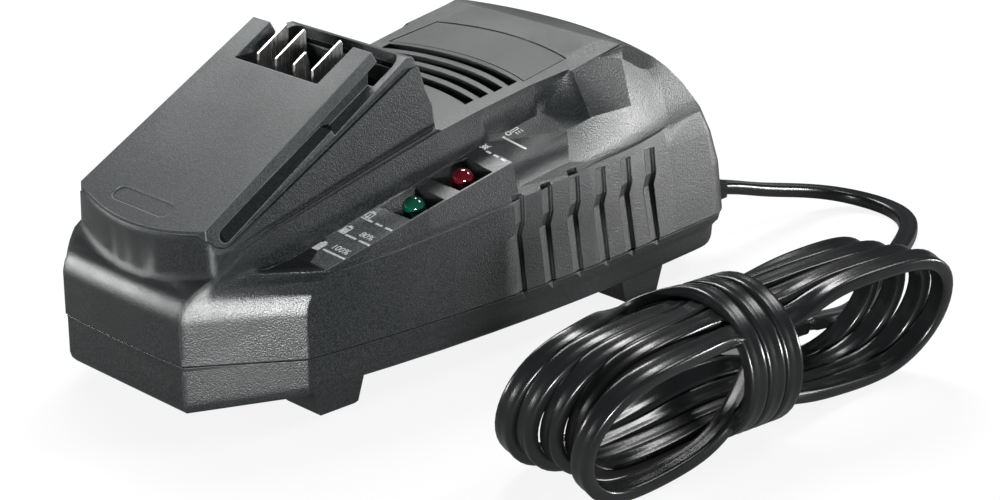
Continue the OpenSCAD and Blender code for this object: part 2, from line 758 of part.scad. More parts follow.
// ---- circuit ----
module circuit_board() {
    color([0.75, 0.66, 0.42]) difference() {
        translate([-pcb_w / 2, pcb_y, pcb_z]) cube([pcb_w, board_l, pcb_t]);
        at_board_screws() translate([0, 0, pcb_z - 1]) cylinder(h = 4, r = screw_d / 2 + 0.2, $fn = fn_fine);
    }
}

module screw(l, r, hr, hh) {
    cylinder(h = l, r = r, $fn = fn_fine);
    difference() {
        translate([0, 0, -hh]) cylinder(h = hh, r = hr, $fn = fn_fine);
        translate([-hr * 0.55, -0.4, -hh - 1]) cube([hr * 1.1, 0.8, 1.7]);
        translate([-0.4, -hr * 0.55, -hh - 1]) cube([0.8, hr * 1.1, 1.7]);
    }
}

module board_screws() {
    color([0.7, 0.7, 0.72]) at_board_screws() translate([0, 0, pcb_top]) mirror([0, 0, 1])
        screw(pcb_top - floor_z - 0.5, screw_d / 2, 2.8, 2);
}

module housing_screws() {
    color([0.7, 0.7, 0.72]) at_housing_screws() translate([0, 0, head_z])
        screw(parting_z + 10 - head_z, screw_d / 2, head_r, head_h);
}

module dock_screws() {
    color([0.7, 0.7, 0.72]) mirrored() translate([dock_screw_x, bridge_y, bridge_z])
        screw(bridge_t + 8, pilot_r, 2.6, 2);
}

// Transformer: an E core with its legs across X and a wound bobbin on the middle leg
core_w = 34;
core_l = 14;
core_h = 30;
core_win_w = 8;
core_win_h = 20;
tr_x = -12;
tr_y = board_end - 46;
bobbin_t = 1.4;

module at_transformer() {
    translate([tr_x, tr_y, pcb_top]) children();
}

module transformer_core() {
    color([0.2, 0.2, 0.21]) at_transformer() difference() {
        translate([-core_w / 2, -core_l / 2, 0]) cube([core_w, core_l, core_h]);
        mirrored() translate([core_w / 2 - 5 - core_win_w, -core_l, (core_h - core_win_h) / 2])
            cube([core_win_w, 2 * core_l, core_win_h]);
    }
}

leg_w = core_w - 2 * (5 + core_win_w);

module transformer_bobbin() {
    z0 = (core_h - core_win_h) / 2;
    w = leg_w + 2 * core_win_w;
    color([0.12, 0.12, 0.13]) at_transformer() difference() {
        union() {
            for (z = [z0, z0 + core_win_h - bobbin_t])
                translate([-w / 2, -core_l / 2 - 7, z]) cube([w, core_l + 14, bobbin_t]);
            translate([-leg_w / 2 - bobbin_t, -core_l / 2 - bobbin_t, z0])
                cube([leg_w + 2 * bobbin_t, core_l + 2 * bobbin_t, core_win_h]);
            // pin rails down to the board, before and behind the core
            for (s = [-1, 1]) translate([-w / 2, s * (core_l / 2 + 4.5) - 2.5, 0]) cube([w, 5, z0 + 1]);
        }
        translate([-leg_w / 2, -core_l / 2, -1]) cube([leg_w, core_l, core_h + 2]);
    }
}

module transformer_winding() {
    z0 = (core_h - core_win_h) / 2 + bobbin_t;
    w = leg_w + 2 * core_win_w - 3;
    color([0.72, 0.55, 0.12]) at_transformer() difference() {
        translate([-w / 2, -core_l / 2 - 5.5, z0]) cube([w, core_l + 11, core_win_h - 2 * bobbin_t]);
        translate([-leg_w / 2 - bobbin_t, -core_l / 2 - bobbin_t, 0])
            cube([leg_w + 2 * bobbin_t, core_l + 2 * bobbin_t, core_h]);
    }
}

module can(x, y, r, h) {
    translate([x, y, pcb_top]) {
        cylinder(h = h, r = r, $fn = fn_round);
        // bead rolled into the can near its foot
        translate([0, 0, 2.5]) rotate_extrude($fn = fn_round) translate([r - 0.1, 0]) circle(r = 0.6, $fn = 16);
    }
}

module mains_capacitor() {
    color([0.1, 0.1, 0.12]) can(17, board_end - 19, 8, 26);
}

module output_capacitors() {
    color([0.1, 0.1, 0.12]) {
        for (x = [-22, -9]) can(x, pcb_y + 42, 5, 20);
    }
}

module line_choke() {
    color([0.72, 0.42, 0.15]) translate([-20, board_end - 17, pcb_top + 3.4])
        rotate_extrude($fn = fn_round) translate([6.8, 0]) circle(r = 3.4, $fn = fn_fine);
}

module film_capacitor() {
    color([0.8, 0.6, 0.1]) translate([-7, board_end - 28, pcb_top]) cube([8, 18, 15]);
}

module mains_fuse() {
    color([0.8, 0.8, 0.78]) translate([28, board_end - 27, pcb_top + 2.9]) rotate([90, 0, 0]) {
        translate([0, 0, -10]) cylinder(h = 20, r = 2.5, $fn = fn_fine);
        for (z = [-10, 5]) translate([0, 0, z]) cylinder(h = 5, r = 2.9, $fn = fn_fine);
    }
}

sink_h = 20;
sink_t = 2;
sink_a = [10, board_end - 64];
sink_b = [22, pcb_y + 22];

// Heat sink: a folded plate with fins, standing on the board
module heat_sink(l) {
    translate([-sink_t / 2, -l / 2, 0]) cube([sink_t, l, sink_h]);
    for (i = [0 : 4]) translate([0, -l / 2 + 1 + i * (l - 3.6) / 4, 0]) cube([7, 1.6, sink_h]);
}

module heat_sinks() {
    color([0.75, 0.76, 0.78]) {
        translate([sink_a[0], sink_a[1], pcb_top]) heat_sink(26);
        translate([sink_b[0], sink_b[1], pcb_top]) heat_sink(22);
    }
}

// Flat transistor body with tab and three legs, its back against X = 0
module tab_device() {
    translate([-1.3, -5, 4]) cube([1.3, 10, 15]);
    translate([-4.5, -5, 4]) cube([3.2, 10, 9]);
    for (y = [-2.54, 0, 2.54]) translate([-3, y - 0.4, 0]) cube([0.6, 0.8, 4.2]);
}

module switch_transistor() {
    color([0.13, 0.13, 0.14]) translate([sink_a[0] - sink_t / 2, sink_a[1], pcb_top]) tab_device();
}

module output_rectifier() {
    color([0.13, 0.13, 0.14]) translate([sink_b[0] - sink_t / 2, sink_b[1], pcb_top]) tab_device();
}

module control_chips() {
    color([0.1, 0.1, 0.11]) {
        for (x = [-24, -10]) translate([x, pcb_y + 14, pcb_top]) cube([6.4, 9.6, 3.4]);
        translate([22, pcb_y + 40, pcb_top]) cube([6.4, 4.8, 3.4]);
    }
}

function unit(v) = v / norm(v);
function tangent(p, i) = unit(p[min(i + 1, len(p) - 1)] - p[max(i - 1, 0)]);

// Closed skin of one section carried along a path, its flat side kept level across side_v
module tube(path, section, side_v) {
    skin([for (i = [0 : len(path) - 1]) let (t = tangent(path, i), s = unit(cross(t, side_v)),
        n = cross(s, t)) [for (q = section) path[i] + s * q[0] + n * q[1]]]);
}

function circle_of(r) = [for (a = [0 : 45 : 315]) [r * cos(a), r * sin(a)]];

wire_r = 0.9;

// ---- lead ----
clamp_z = parting_z - lead_t / 2;
relief_y = rear_at(parting_z) - 4;

module lead_clamp() {
    color([0.2, 0.2, 0.21]) difference() {
        translate([relief_x - 9, rear_y - 24, clamp_z + lead_t]) cube([18, 8, 2.4]);
        translate([relief_x, rear_y - 20, clamp_z]) mirrored() translate([6.4, 0, 0])
            cylinder(h = 20, r = screw_d / 2, $fn = fn_fine);
    }
}

relief_in = 12;
lead_ring = let (w = lead_w / 2, t = lead_t / 2)
    [[w, t - 1.1], [w - 0.4, t - 0.35], [w - 1.2, t], [-w + 1.2, t], [-w + 0.4, t - 0.35], [-w, t - 1.1],
    [-w, -t + 1.1], [-w + 0.4, -t + 0.35], [-w + 1.2, -t], [w - 1.2, -t], [w - 0.4, -t + 0.35],
    [w, -t + 1.1]];

module strain_relief() {
    color([0.08, 0.08, 0.09]) translate([relief_x, 0, parting_z]) difference() {
        union() {
            translate([-relief_hole_w / 2, relief_y - relief_in, -relief_hole_t / 2])
                cube([relief_hole_w, relief_in, relief_hole_t]);
            hull() {
                translate([-relief_hole_w / 2 + 0.5, relief_y - 1, -relief_hole_t / 2 + 0.5])
                    cube([relief_hole_w - 1, 1, relief_hole_t - 1]);
                translate([-lead_w / 2 - 0.7, relief_y + relief_l - 1, -lead_t / 2 - 0.7])
                    cube([lead_w + 1.4, 1, lead_t + 1.4]);
            }
        }
        translate([0, relief_y - 60, 0]) rotate([-90, 0, 0]) linear_extrude(120) polygon(lead_ring);
    }
}

module clamp_screws() {
    color([0.7, 0.7, 0.72]) translate([relief_x, rear_y - 20, clamp_z + lead_t + 2.4]) mirrored()
        translate([6.4, 0, 0]) mirror([0, 0, 1]) screw(9, screw_d / 2 - 0.25, 2.4, 1.8);
}

// Centre line of the lead, from the clamp out of the housing and along the table to the hank
lead_path = [[26, 73, 18.8], [26, 84, 18.8], [26, 95, 18.8], [26, 102, 18.8], [26, 106, 18.3], [26, 112, 16.7],
    [26, 120, 14.2], [26, 129, 11.7], [26, 137.5, 9.6], [26.3, 145.6, 7.5], [27.8, 153.2, 5.6],
    [31.6, 159.6, 3.9], [37, 163.4, 2.7], [43.8, 164.6, 2.1], [50.6, 163, 1.9], [56.6, 159, 1.9],
    [61.6, 153.2, 1.9], [65.8, 146.2, 1.9], [69.6, 138.4, 1.9], [73.4, 130.4, 1.9], [77.2, 122.4, 1.9],
    [81, 114.4, 1.9], [84.8, 106.4, 2], [88.6, 98.6, 2.2], [92.2, 90.8, 2.8], [95.6, 82.6, 4],
    [98.6, 74.2, 6], [101.2, 65.6, 8.4], [103.4, 57, 10.6]];

module mains_lead() {
    color([0.04, 0.04, 0.045]) tube(lead_path, lead_ring, [0, 0, 1]);
}

// Tied hank: the closed outer shape of the coiled lead, along Y
hank_at = [120, -45];
hank_l = 100;
hank_r = 22;
hank_h = 42;

module lead_hank() {
    color([0.04, 0.04, 0.045]) translate([hank_at[0], hank_at[1], 0]) linear_extrude(hank_h) {
        translate([-hank_r, 0]) square([2 * hank_r, hank_l]);
        circle(r = hank_r, $fn = fn_round);
        translate([0, hank_l]) circle(r = hank_r, $fn = fn_round);
    }
}

// Flat two-pin plug, lying on the table behind the hank
plug_at = [101.4, 22.4];
plug_turn = 133;
plug_w = 35;
plug_h = 13.6;
plug_l = 35;
pin_r = 2;
pin_l = 19;
pin_pitch = 18.6;

module at_plug() {
    translate([plug_at[0], plug_at[1], plug_h / 2]) rotate([0, 0, plug_turn]) children();
}

module plug_slab(x, w, h, l) {
    translate([x, -w / 2, -h / 2]) cube([l, w, h]);
}

module plug_body() {
    color([0.05, 0.05, 0.055]) at_plug() difference() {
        union() {
            hull() {
                plug_slab(0, 8.4, 6.6, 1);
                plug_slab(11, 13, 9.4, 1);
            }
            hull() {
                plug_slab(11, 13, 9.4, 1);
                plug_slab(20, 30, 12.6, 1);
            }
            hull() {
                plug_slab(20, 30, 12.6, 1);
                plug_slab(27, plug_w, plug_h, plug_l - 27);
            }
        }
        mirrored_y() translate([plug_l - 8, pin_pitch / 2, 0]) rotate([0, 90, 0])
            cylinder(h = 9, r = pin_r, $fn = fn_fine);
    }
}

module mirrored_y() {
    children();
    mirror([0, 1, 0]) children();
}

module plug_pins() {
    color([0.85, 0.82, 0.7]) at_plug() mirrored_y() translate([plug_l - 8, pin_pitch / 2, 0])
        rotate([0, 90, 0]) {
            cylinder(h = pin_l + 7, r = pin_r, $fn = fn_fine);
            translate([0, 0, pin_l + 7]) cylinder(h = 1, r1 = pin_r, r2 = pin_r - 0.6, $fn = fn_fine);
        }
}

// ---- wires inside ----
module mains_wires() {
    color([0.1, 0.25, 0.55]) mirror_x(relief_x) tube([[relief_x + 1.4, rear_y - 25.6, parting_z],
        [relief_x + 1.4, board_end + 4, parting_z], [relief_x + 1.8, board_end + 0.4, parting_z - 0.2],
        [relief_x + 2.4, board_end - 2, parting_z - 1], [relief_x + 2.6, board_end - 3, pcb_top - 0.6]],
        circle_of(wire_r), [1, 0, 0]);
}

module mirror_x(x) {
    children();
    translate([2 * x, 0, 0]) mirror([1, 0, 0]) children();
}

module dock_leads() {
    color([0.6, 0.1, 0.1]) for (i = [0 : 3]) let (x = (i - 1.5) * blade_pitch, y = blade_y + 2.6)
        tube([[x, y - 3, pcb_top - 0.8], [x, y - 3, blade_foot_z - 24], [x, y - 1, blade_foot_z - 16],
            [x, y, blade_foot_z - 8], [x, y, blade_foot_z + 1]], circle_of(wire_r), [1, 0, 0]);
}

module lamp_leads() {
    color([0.8, 0.75, 0.2]) for (i = [0 : 2]) let (y = lamp_y + 7 + i * 2.4)
        tube([[31.8, y, pcb_top - 0.8], [31.8, y, 30], [32.2, y, 34], [32.6, y, 38], [32.6, y, 41.6]],
            circle_of(0.6), [0, 1, 0]);
}

upper_housing();
lower_housing();
battery_dock();
dock_screws();
contact_carrier();
contact_blades();
short_blade();
name_plate();
green_lamp();
red_lamp();
lamp_board();
lamp_leads();
circuit_board();
transformer_core();
transformer_bobbin();
transformer_winding();
mains_capacitor();
output_capacitors();
line_choke();
film_capacitor();
mains_fuse();
heat_sinks();
switch_transistor();
output_rectifier();
control_chips();
dock_leads();
board_screws();
housing_screws();
mains_wires();
lead_clamp();
clamp_screws();
strain_relief();
mains_lead();
lead_hank();
plug_body();
plug_pins();
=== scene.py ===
import bpy
import bmesh
import math
import numpy as np
from mathutils import Matrix, Vector


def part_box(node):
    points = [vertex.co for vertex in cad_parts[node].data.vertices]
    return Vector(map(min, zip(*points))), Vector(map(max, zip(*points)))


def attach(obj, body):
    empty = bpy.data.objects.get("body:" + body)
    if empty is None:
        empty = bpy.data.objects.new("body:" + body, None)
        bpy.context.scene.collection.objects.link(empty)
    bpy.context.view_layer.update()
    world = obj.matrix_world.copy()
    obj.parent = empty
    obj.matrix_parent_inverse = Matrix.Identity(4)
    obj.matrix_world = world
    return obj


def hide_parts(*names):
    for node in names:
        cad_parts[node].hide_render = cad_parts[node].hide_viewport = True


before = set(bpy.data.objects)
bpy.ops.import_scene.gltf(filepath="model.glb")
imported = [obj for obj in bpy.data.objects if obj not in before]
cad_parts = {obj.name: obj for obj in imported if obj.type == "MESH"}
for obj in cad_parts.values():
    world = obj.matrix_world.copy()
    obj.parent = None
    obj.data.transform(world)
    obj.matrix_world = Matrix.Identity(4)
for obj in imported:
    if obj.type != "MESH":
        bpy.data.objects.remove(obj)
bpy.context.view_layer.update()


# ---- Camera ----
# It stands about 0.7 m from the charger, in front of its right nose corner and a little above it, with a
# long lens that keeps its edges nearly parallel.
lens = bpy.data.cameras.new("camera")
lens.lens = 92.19
lens.sensor_width = 36.0
lens.clip_start = 0.01


def placed(name, data):
    """An object of this data in the scene, at the origin."""
    thing = bpy.data.objects.new(name, data)
    bpy.context.collection.objects.link(thing)
    return thing


camera = placed("camera", lens)
camera.location = (0.5098, -0.4540, 0.2732)
camera.rotation_euler = (math.radians(69.5), 0.0, math.radians(46.08))
bpy.context.scene.camera = camera
bpy.context.scene.view_settings.view_transform = "Standard"


# ---- Table and light ----
# A pale seamless table under soft boxes: two low ones in front of the nose, one low behind, and three
# higher ones for the tops. The table keeps a faint shadow. It is white to the lens and pale in glossy things.
def add(tree, kind, settings=None, operation=None):
    """One node of a tree, with its operation and the values of its inputs."""
    made = tree.nodes.new(kind)
    if operation:
        made.operation = operation
    for socket, value in (settings or {}).items():
        made.inputs[socket].default_value = value
    return made


def join(tree, *wires):
    """Wires between sockets: from node, its output, to node, its input."""
    for source, given, target, taken in wires:
        tree.links.new(source.outputs[given], target.inputs[taken])


white = bpy.data.materials.new("pale_table")
white.use_nodes = True
nt = white.node_tree
nt.nodes.clear()
out = add(nt, "ShaderNodeOutputMaterial")
path = add(nt, "ShaderNodeLightPath")
in_gloss = add(nt, "ShaderNodeMath", {1: 0.2}, operation="MULTIPLY")
seen = add(nt, "ShaderNodeMath", operation="MAXIMUM")
seen_more = add(nt, "ShaderNodeMath", operation="MAXIMUM")
matt = add(nt, "ShaderNodeBsdfDiffuse", {"Color": (0.14, 0.14, 0.14, 1)})
glow = add(nt, "ShaderNodeEmission", {"Color": (1, 1, 1, 1), "Strength": 0.87})
both = add(nt, "ShaderNodeAddShader")
pick = add(nt, "ShaderNodeMixShader")
join(nt, (path, "Is Camera Ray", seen, 0), (path, "Is Glossy Ray", in_gloss, 0), (in_gloss, 0, seen, 1),
     (seen, 0, seen_more, 0), (path, "Is Transmission Ray", seen_more, 1), (seen_more, 0, pick, "Fac"),
     (matt, 0, both, 0), (glow, 0, both, 1), (matt, 0, pick, 1), (both, 0, pick, 2),
     (pick, 0, out, "Surface"))
reach = 4
top = bpy.data.meshes.new("table")
corners = [(x * reach, y * reach, 0) for x, y in ((-1, -1), (1, -1), (1, 1), (-1, 1))]
top.from_pydata(corners, [], [(0, 1, 2, 3)])
top.materials.append(white)
table = placed("table", top)

world = bpy.data.worlds.new("studio")
world.use_nodes = True
bpy.context.scene.world = world
nt = world.node_tree
nt.nodes.clear()
out = add(nt, "ShaderNodeOutputWorld")
path = add(nt, "ShaderNodeLightPath")
pick = add(nt, "ShaderNodeMixShader")
room = add(nt, "ShaderNodeBackground", {"Color": (0.9, 0.95, 1.0, 1), "Strength": 0.09})
back = add(nt, "ShaderNodeBackground", {"Strength": 1.0})
join(nt, (path, "Is Camera Ray", pick, "Fac"), (room, 0, pick, 1), (back, 0, pick, 2),
     (pick, 0, out, "Surface"))

for name, spot, aim, size, power in (
        ("box_front", (0.86, -0.62, 0.06), (0.03, -0.08, 0.03), (0.24, 0.08), 18.0),
        ("box_nose", (-0.80, -0.64, 0.16), (0.0, -0.09, 0.03), (0.34, 0.12), 5.0),
        ("box_right", (0.54, 0.90, 0.05), (0.04, 0.07, 0.03), (0.20, 0.08), 6.0),
        ("box_edge", (0.30, 0.66, 0.92), (0.04, 0.0, 0.04), (0.36, 0.30), 4.0),
        ("box_over", (-0.54, 0.48, 1.0), (0.02, 0.0, 0.05), (0.46, 0.40), 11.0),
        ("box_left", (-0.66, 0.10, 0.66), (0.0, -0.03, 0.08), (0.30, 0.26), 2.0)):
    lamp = bpy.data.lights.new(name, "AREA")
    lamp.shape = "RECTANGLE"
    lamp.size, lamp.size_y = size
    lamp.energy = power
    box = placed(name, lamp)
    box.location = spot
    box.rotation_euler = (Vector(aim) - Vector(spot)).to_track_quat("-Z", "Y").to_euler()


# ---- Mains lead ----
# A flat two-core lead of soft black plastic, 5.8 by 3.6 mm. It leaves the strain relief at the rear,
# drops to the table, bends round to the hank, makes five long turns and ties them with three more.
lead_w, lead_t, step = 0.0058, 0.0036, 0.0026
# its free run in mm, from the strain relief's end over the table to the hank
run_out = [(26, 102, 18.8), (26, 106, 18.3), (26, 112, 16.7), (26, 120, 14.2), (26, 129, 11.7),
           (26, 137.5, 9.6), (26.3, 145.6, 7.5), (27.8, 153.2, 5.6), (31.6, 159.6, 3.9), (37, 163.4, 2.7),
           (43.8, 164.6, 2.1), (50.6, 163, 1.9), (56.6, 159, 1.9), (61.6, 153.2, 1.9), (65.8, 146.2, 1.9),
           (69.6, 138.4, 1.9), (73.4, 130.4, 1.9), (77.2, 122.4, 1.9), (81, 114.4, 1.9), (84.8, 106.4, 2),
           (88.6, 98.6, 2.2), (92.2, 90.8, 2.8), (95.6, 82.6, 4), (98.6, 74.2, 6), (101.2, 65.6, 8.4),
           (103.4, 57, 10.6)]
# the hank in mm: its place and turn, the folds at its two ends and the turns of the tie round its middle
hank_middle = Vector((117.5, 6.0, 0.0))
along = Vector((0.08, 1.0, 0.0)).normalized()
aside = Vector((along.y, -along.x, 0.0))
up = Vector((0, 0, 1))
fold_r, fold_foot, lean = 18.2, 2.6, math.radians(17)
near_folds = [(-50.2, 20.4), (-42.5, 9.4), (-45.6, 3.8), (-48.8, -1.8), (-50.4, -7.4)]
far_folds = [(51, 8.4), (49, 2.2), (46, -4.0), (43, -10.2)]
round_fold = (-84, -60, -30, 0, 30, 60, 84)
place_in_tie = [math.radians(a) for a in (47, 24, 0, -24, -47)]
tie_in_r, tie_r, tie_z = 15.4, 19.0, 20.8
centres, flats = [], []


def lead_point(p, flat):
    centres.append(Vector(p))
    flats.append(Vector(flat).normalized())


def in_hank(a, side, z):
    return hank_middle + along * a + aside * side + up * z


def fold(end, a, side, angles):
    for angle in angles:
        t = math.radians(angle)
        rise = fold_r * math.sin(t)
        lead_point(in_hank(a + end * fold_r * math.cos(t), side + rise * math.sin(lean),
                           fold_foot + (fold_r + rise) * math.cos(lean)),
                   aside * math.cos(lean) - up * math.sin(lean))


def through_tie(k, over):
    t, s = place_in_tie[k], 1 if over else -1
    for a in (-9 * s, 9 * s):
        lead_point(in_hank(a, tie_in_r * math.sin(t), tie_z + s * tie_in_r * math.cos(t)),
                   aside * math.cos(t) - s * up * math.sin(t))


def on_tie(a, t):
    return in_hank(a, tie_r * math.cos(t), tie_z - tie_r * math.sin(t))


for k, p in enumerate(run_out):
    ahead = Vector(run_out[min(k + 1, len(run_out) - 1)]) - Vector(run_out[max(k - 1, 0)])
    lead_point(p, ahead.cross(up))
for p in ((38, -15.5, 12.4), (27, -11.5, 14), (15, -5.5, 13.6), (4, 1.5, 11.8), (-6, 8, 10.2), (-14, 11.5, 8),
          (-24, 13.6, 4.8)):
    lead_point(in_hank(*p), aside)
shift = fold_r * math.sin(lean)
fold_top = fold_foot + 2 * fold_r * math.cos(lean)
for k, (a, side) in enumerate(near_folds):
    t = place_in_tie[k]
    if k:
        through_tie(k, False)
        lead_point(in_hank(-24, tie_in_r * math.sin(t) * 0.45 + (side - shift) * 0.55,
                           (tie_z - tie_in_r * math.cos(t)) * 0.4 + 1.32), aside)
    fold(-1, a, side, round_fold)
    if k < len(far_folds):
        lead_point(in_hank(-23, tie_in_r * math.sin(t) * 0.45 + (side + shift) * 0.55,
                           fold_top * 0.75 + (tie_z + tie_in_r * math.cos(t)) * 0.25), aside)
        through_tie(k, True)
        a, side = far_folds[k]
        lead_point(in_hank(22, tie_in_r * math.sin(t) * 0.5 + (side + shift) * 0.5,
                           fold_top * 0.8 + (tie_z + tie_in_r * math.cos(t)) * 0.2), aside)
        fold(1, a, side, round_fold[::-1])
        t = place_in_tie[k + 1]
        lead_point(in_hank(25, tie_in_r * math.sin(t) * 0.5 + (side - shift) * 0.5,
                           (tie_z - tie_in_r * math.cos(t)) * 0.4 + 1.32), aside)
lead_point(in_hank(-40, -7.0, 36.4), aside)
lead_point(in_hank(-33, -11, 34.6), aside)
for a, t, turn in ((-26, -137, 5), (-19.6, -130.5, 28), (-14.2, -117, 55), (-11.2, -100, 75)):
    t, turn = math.radians(t), math.radians(turn)
    round_tie = -aside * math.sin(t) - up * math.cos(t)
    lead_point(on_tie(a, t), round_tie * math.cos(turn) - along * math.sin(turn))
for degrees in range(-80, 801, 30):
    lead_point(on_tie(-9.8 + 6.2 * degrees / 360, math.radians(degrees)), -along)
lead_point(in_hank(5.8, 0, 1.9), -along)
for p in ((6.6, -5, 2.2), (8.6, -9.6, 3.6), (11.6, -13.8, 5.4), (15, -17.4, 6.8)):
    lead_point(in_hank(*p), -along * 0.75 - aside * 0.66)


def even_line(points, sides, gap):
    """A smooth line through the points at even gaps, with the flat's direction carried along it."""
    p = np.array([tuple(v) for v in points])
    q = np.vstack([2 * p[0] - p[1], p, 2 * p[-1] - p[-2]])
    dense, at = [], []
    for i in range(1, len(q) - 2):
        c = q[i - 1:i + 3]
        apart = np.maximum(np.linalg.norm(np.diff(c, axis=0), axis=1), 1e-9)
        t = np.concatenate([[0], np.cumsum(apart ** 0.5)])
        for u in np.linspace(t[1], t[2], 12, endpoint=False):
            a = [(t[j + 1] - u) / (t[j + 1] - t[j]) * c[j] + (u - t[j]) / (t[j + 1] - t[j]) * c[j + 1]
                 for j in range(3)]
            b = [(t[j + 2] - u) / (t[j + 2] - t[j]) * a[j] + (u - t[j]) / (t[j + 2] - t[j]) * a[j + 1]
                 for j in range(2)]
            dense.append((t[2] - u) / (t[2] - t[1]) * b[0] + (u - t[1]) / (t[2] - t[1]) * b[1])
            at.append(i - 1 + (u - t[1]) / (t[2] - t[1]))
    dense.append(p[-1])
    at.append(len(p) - 1.0)
    dense, at = np.array(dense), np.array(at)
    far = np.concatenate([[0], np.cumsum(np.linalg.norm(np.diff(dense, axis=0), axis=1))])
    even = np.linspace(0, far[-1], int(far[-1] / gap) + 1)
    line = np.stack([np.interp(even, far, dense[:, j]) for j in range(3)], 1)
    where = np.interp(even, far, at)
    s = np.array([tuple(v) for v in sides])
    wide = np.stack([np.interp(where, np.arange(len(s)), s[:, j]) for j in range(3)], 1)
    for _ in range(6):
        line[2:-2] = (line[1:-3] + 2 * line[2:-2] + line[3:-1]) / 4
        wide[1:-1] = (wide[:-2] + 2 * wide[1:-1] + wide[2:]) / 4
    ahead = np.gradient(line, axis=0)
    ahead /= np.linalg.norm(ahead, axis=1)[:, None]
    wide -= ahead * (wide * ahead).sum(1)[:, None]
    wide /= np.linalg.norm(wide, axis=1)[:, None]
    return line, wide, np.cross(ahead, wide)


line, wide, thick = even_line([p / 1000 for p in centres], flats, step)
# the section: two cores side by side with a slight hollow between them
w, t = lead_w / 2, lead_t / 2
outline = [(w, t * 0.30), (w * 0.955, t * 0.72), (w * 0.82, t * 0.98), (w * 0.52, t), (w * 0.14, t * 0.94)]
outline += [(0, t * 0.92)] + [(-a, b) for a, b in reversed(outline)]
outline += [(a, -b) for a, b in reversed(outline)]
n = len(outline)
points = [tuple(line[i] + wide[i] * a + thick[i] * b) for i in range(len(line)) for a, b in outline]
faces = [(i * n + j, i * n + (j + 1) % n, (i + 1) * n + (j + 1) % n, (i + 1) * n + j)
         for i in range(len(line) - 1) for j in range(n)]
faces += [tuple(range(n))[::-1], tuple(range((len(line) - 1) * n, len(line) * n))]
mesh = bpy.data.meshes.new("flat_lead")
mesh.from_pydata(points, [], faces)
flat_lead = placed("flat_lead", mesh)
bm = bmesh.new()
bm.from_mesh(mesh)
bmesh.ops.recalc_face_normals(bm, faces=bm.faces)
bm.to_mesh(mesh)
bm.free()
mesh.shade_smooth()


def blank(name):
    """A new material, with its tree and its shader."""
    made = bpy.data.materials.new(name)
    made.use_nodes = True
    return made, made.node_tree, made.node_tree.nodes["Principled BSDF"]


def two_tones(tree, first, last, start=0.0, end=1.0):
    """A ramp from one colour to another, between two values of what drives it."""
    ramp = tree.nodes.new("ShaderNodeValToRGB")
    for i, place, colour in ((0, start, first), (1, end, last)):
        ramp.color_ramp.elements[i].position = place
        ramp.color_ramp.elements[i].color = (*colour, 1)
    return ramp


lead_plastic, nt, skin = blank("lead_plastic")
skin.inputs["Specular IOR Level"].default_value = 0.42
where = add(nt, "ShaderNodeTexCoord")
cloud = add(nt, "ShaderNodeTexNoise", {"Scale": 90, "Detail": 3})
tone = two_tones(nt, (0.0045, 0.0048, 0.005), (0.0095, 0.0100, 0.0104))
rub = add(nt, "ShaderNodeMapRange", {"To Min": 0.20, "To Max": 0.31})
pores = add(nt, "ShaderNodeTexNoise", {"Scale": 900})
bump = add(nt, "ShaderNodeBump", {"Strength": 0.12, "Distance": 0.0002})
join(nt, (where, "Object", cloud, "Vector"), (where, "Object", pores, "Vector"), (cloud, "Fac", tone, "Fac"),
     (tone, "Color", skin, "Base Color"), (cloud, "Fac", rub, "Value"), (rub, "Result", skin, "Roughness"),
     (pores, "Fac", bump, "Height"), (bump, "Normal", skin, "Normal"))
mesh.materials.append(lead_plastic)
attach(flat_lead, "root")
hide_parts("mains_lead", "lead_hank")


# ---- Upper housing ----
# One moulding of black filled plastic with a spark texture, finer on the core than on the flanks. It sits on
# the lower shell's rim and four long screws pull it down. The copy is welded, so that its curves shade as
# curves.
seam_height, seam_half, seam_depth = 0.0188, 0.00028, 0.0006
core_side, nose_from, nose_to, nose_roll = 0.0252, -0.070, -0.080, 0.0028
# how much paler the edges turn: partly wear, partly a painted highlight along the edges
worn_and_highlit_edge_gain = 4.5


def baked(piece):
    """The mesh of a piece with its modifiers worked in."""
    return bpy.data.meshes.new_from_object(piece.evaluated_get(bpy.context.evaluated_depsgraph_get()))


def cover(mesh, material):
    """One material for the whole mesh."""
    mesh.materials.clear()
    mesh.materials.append(material)


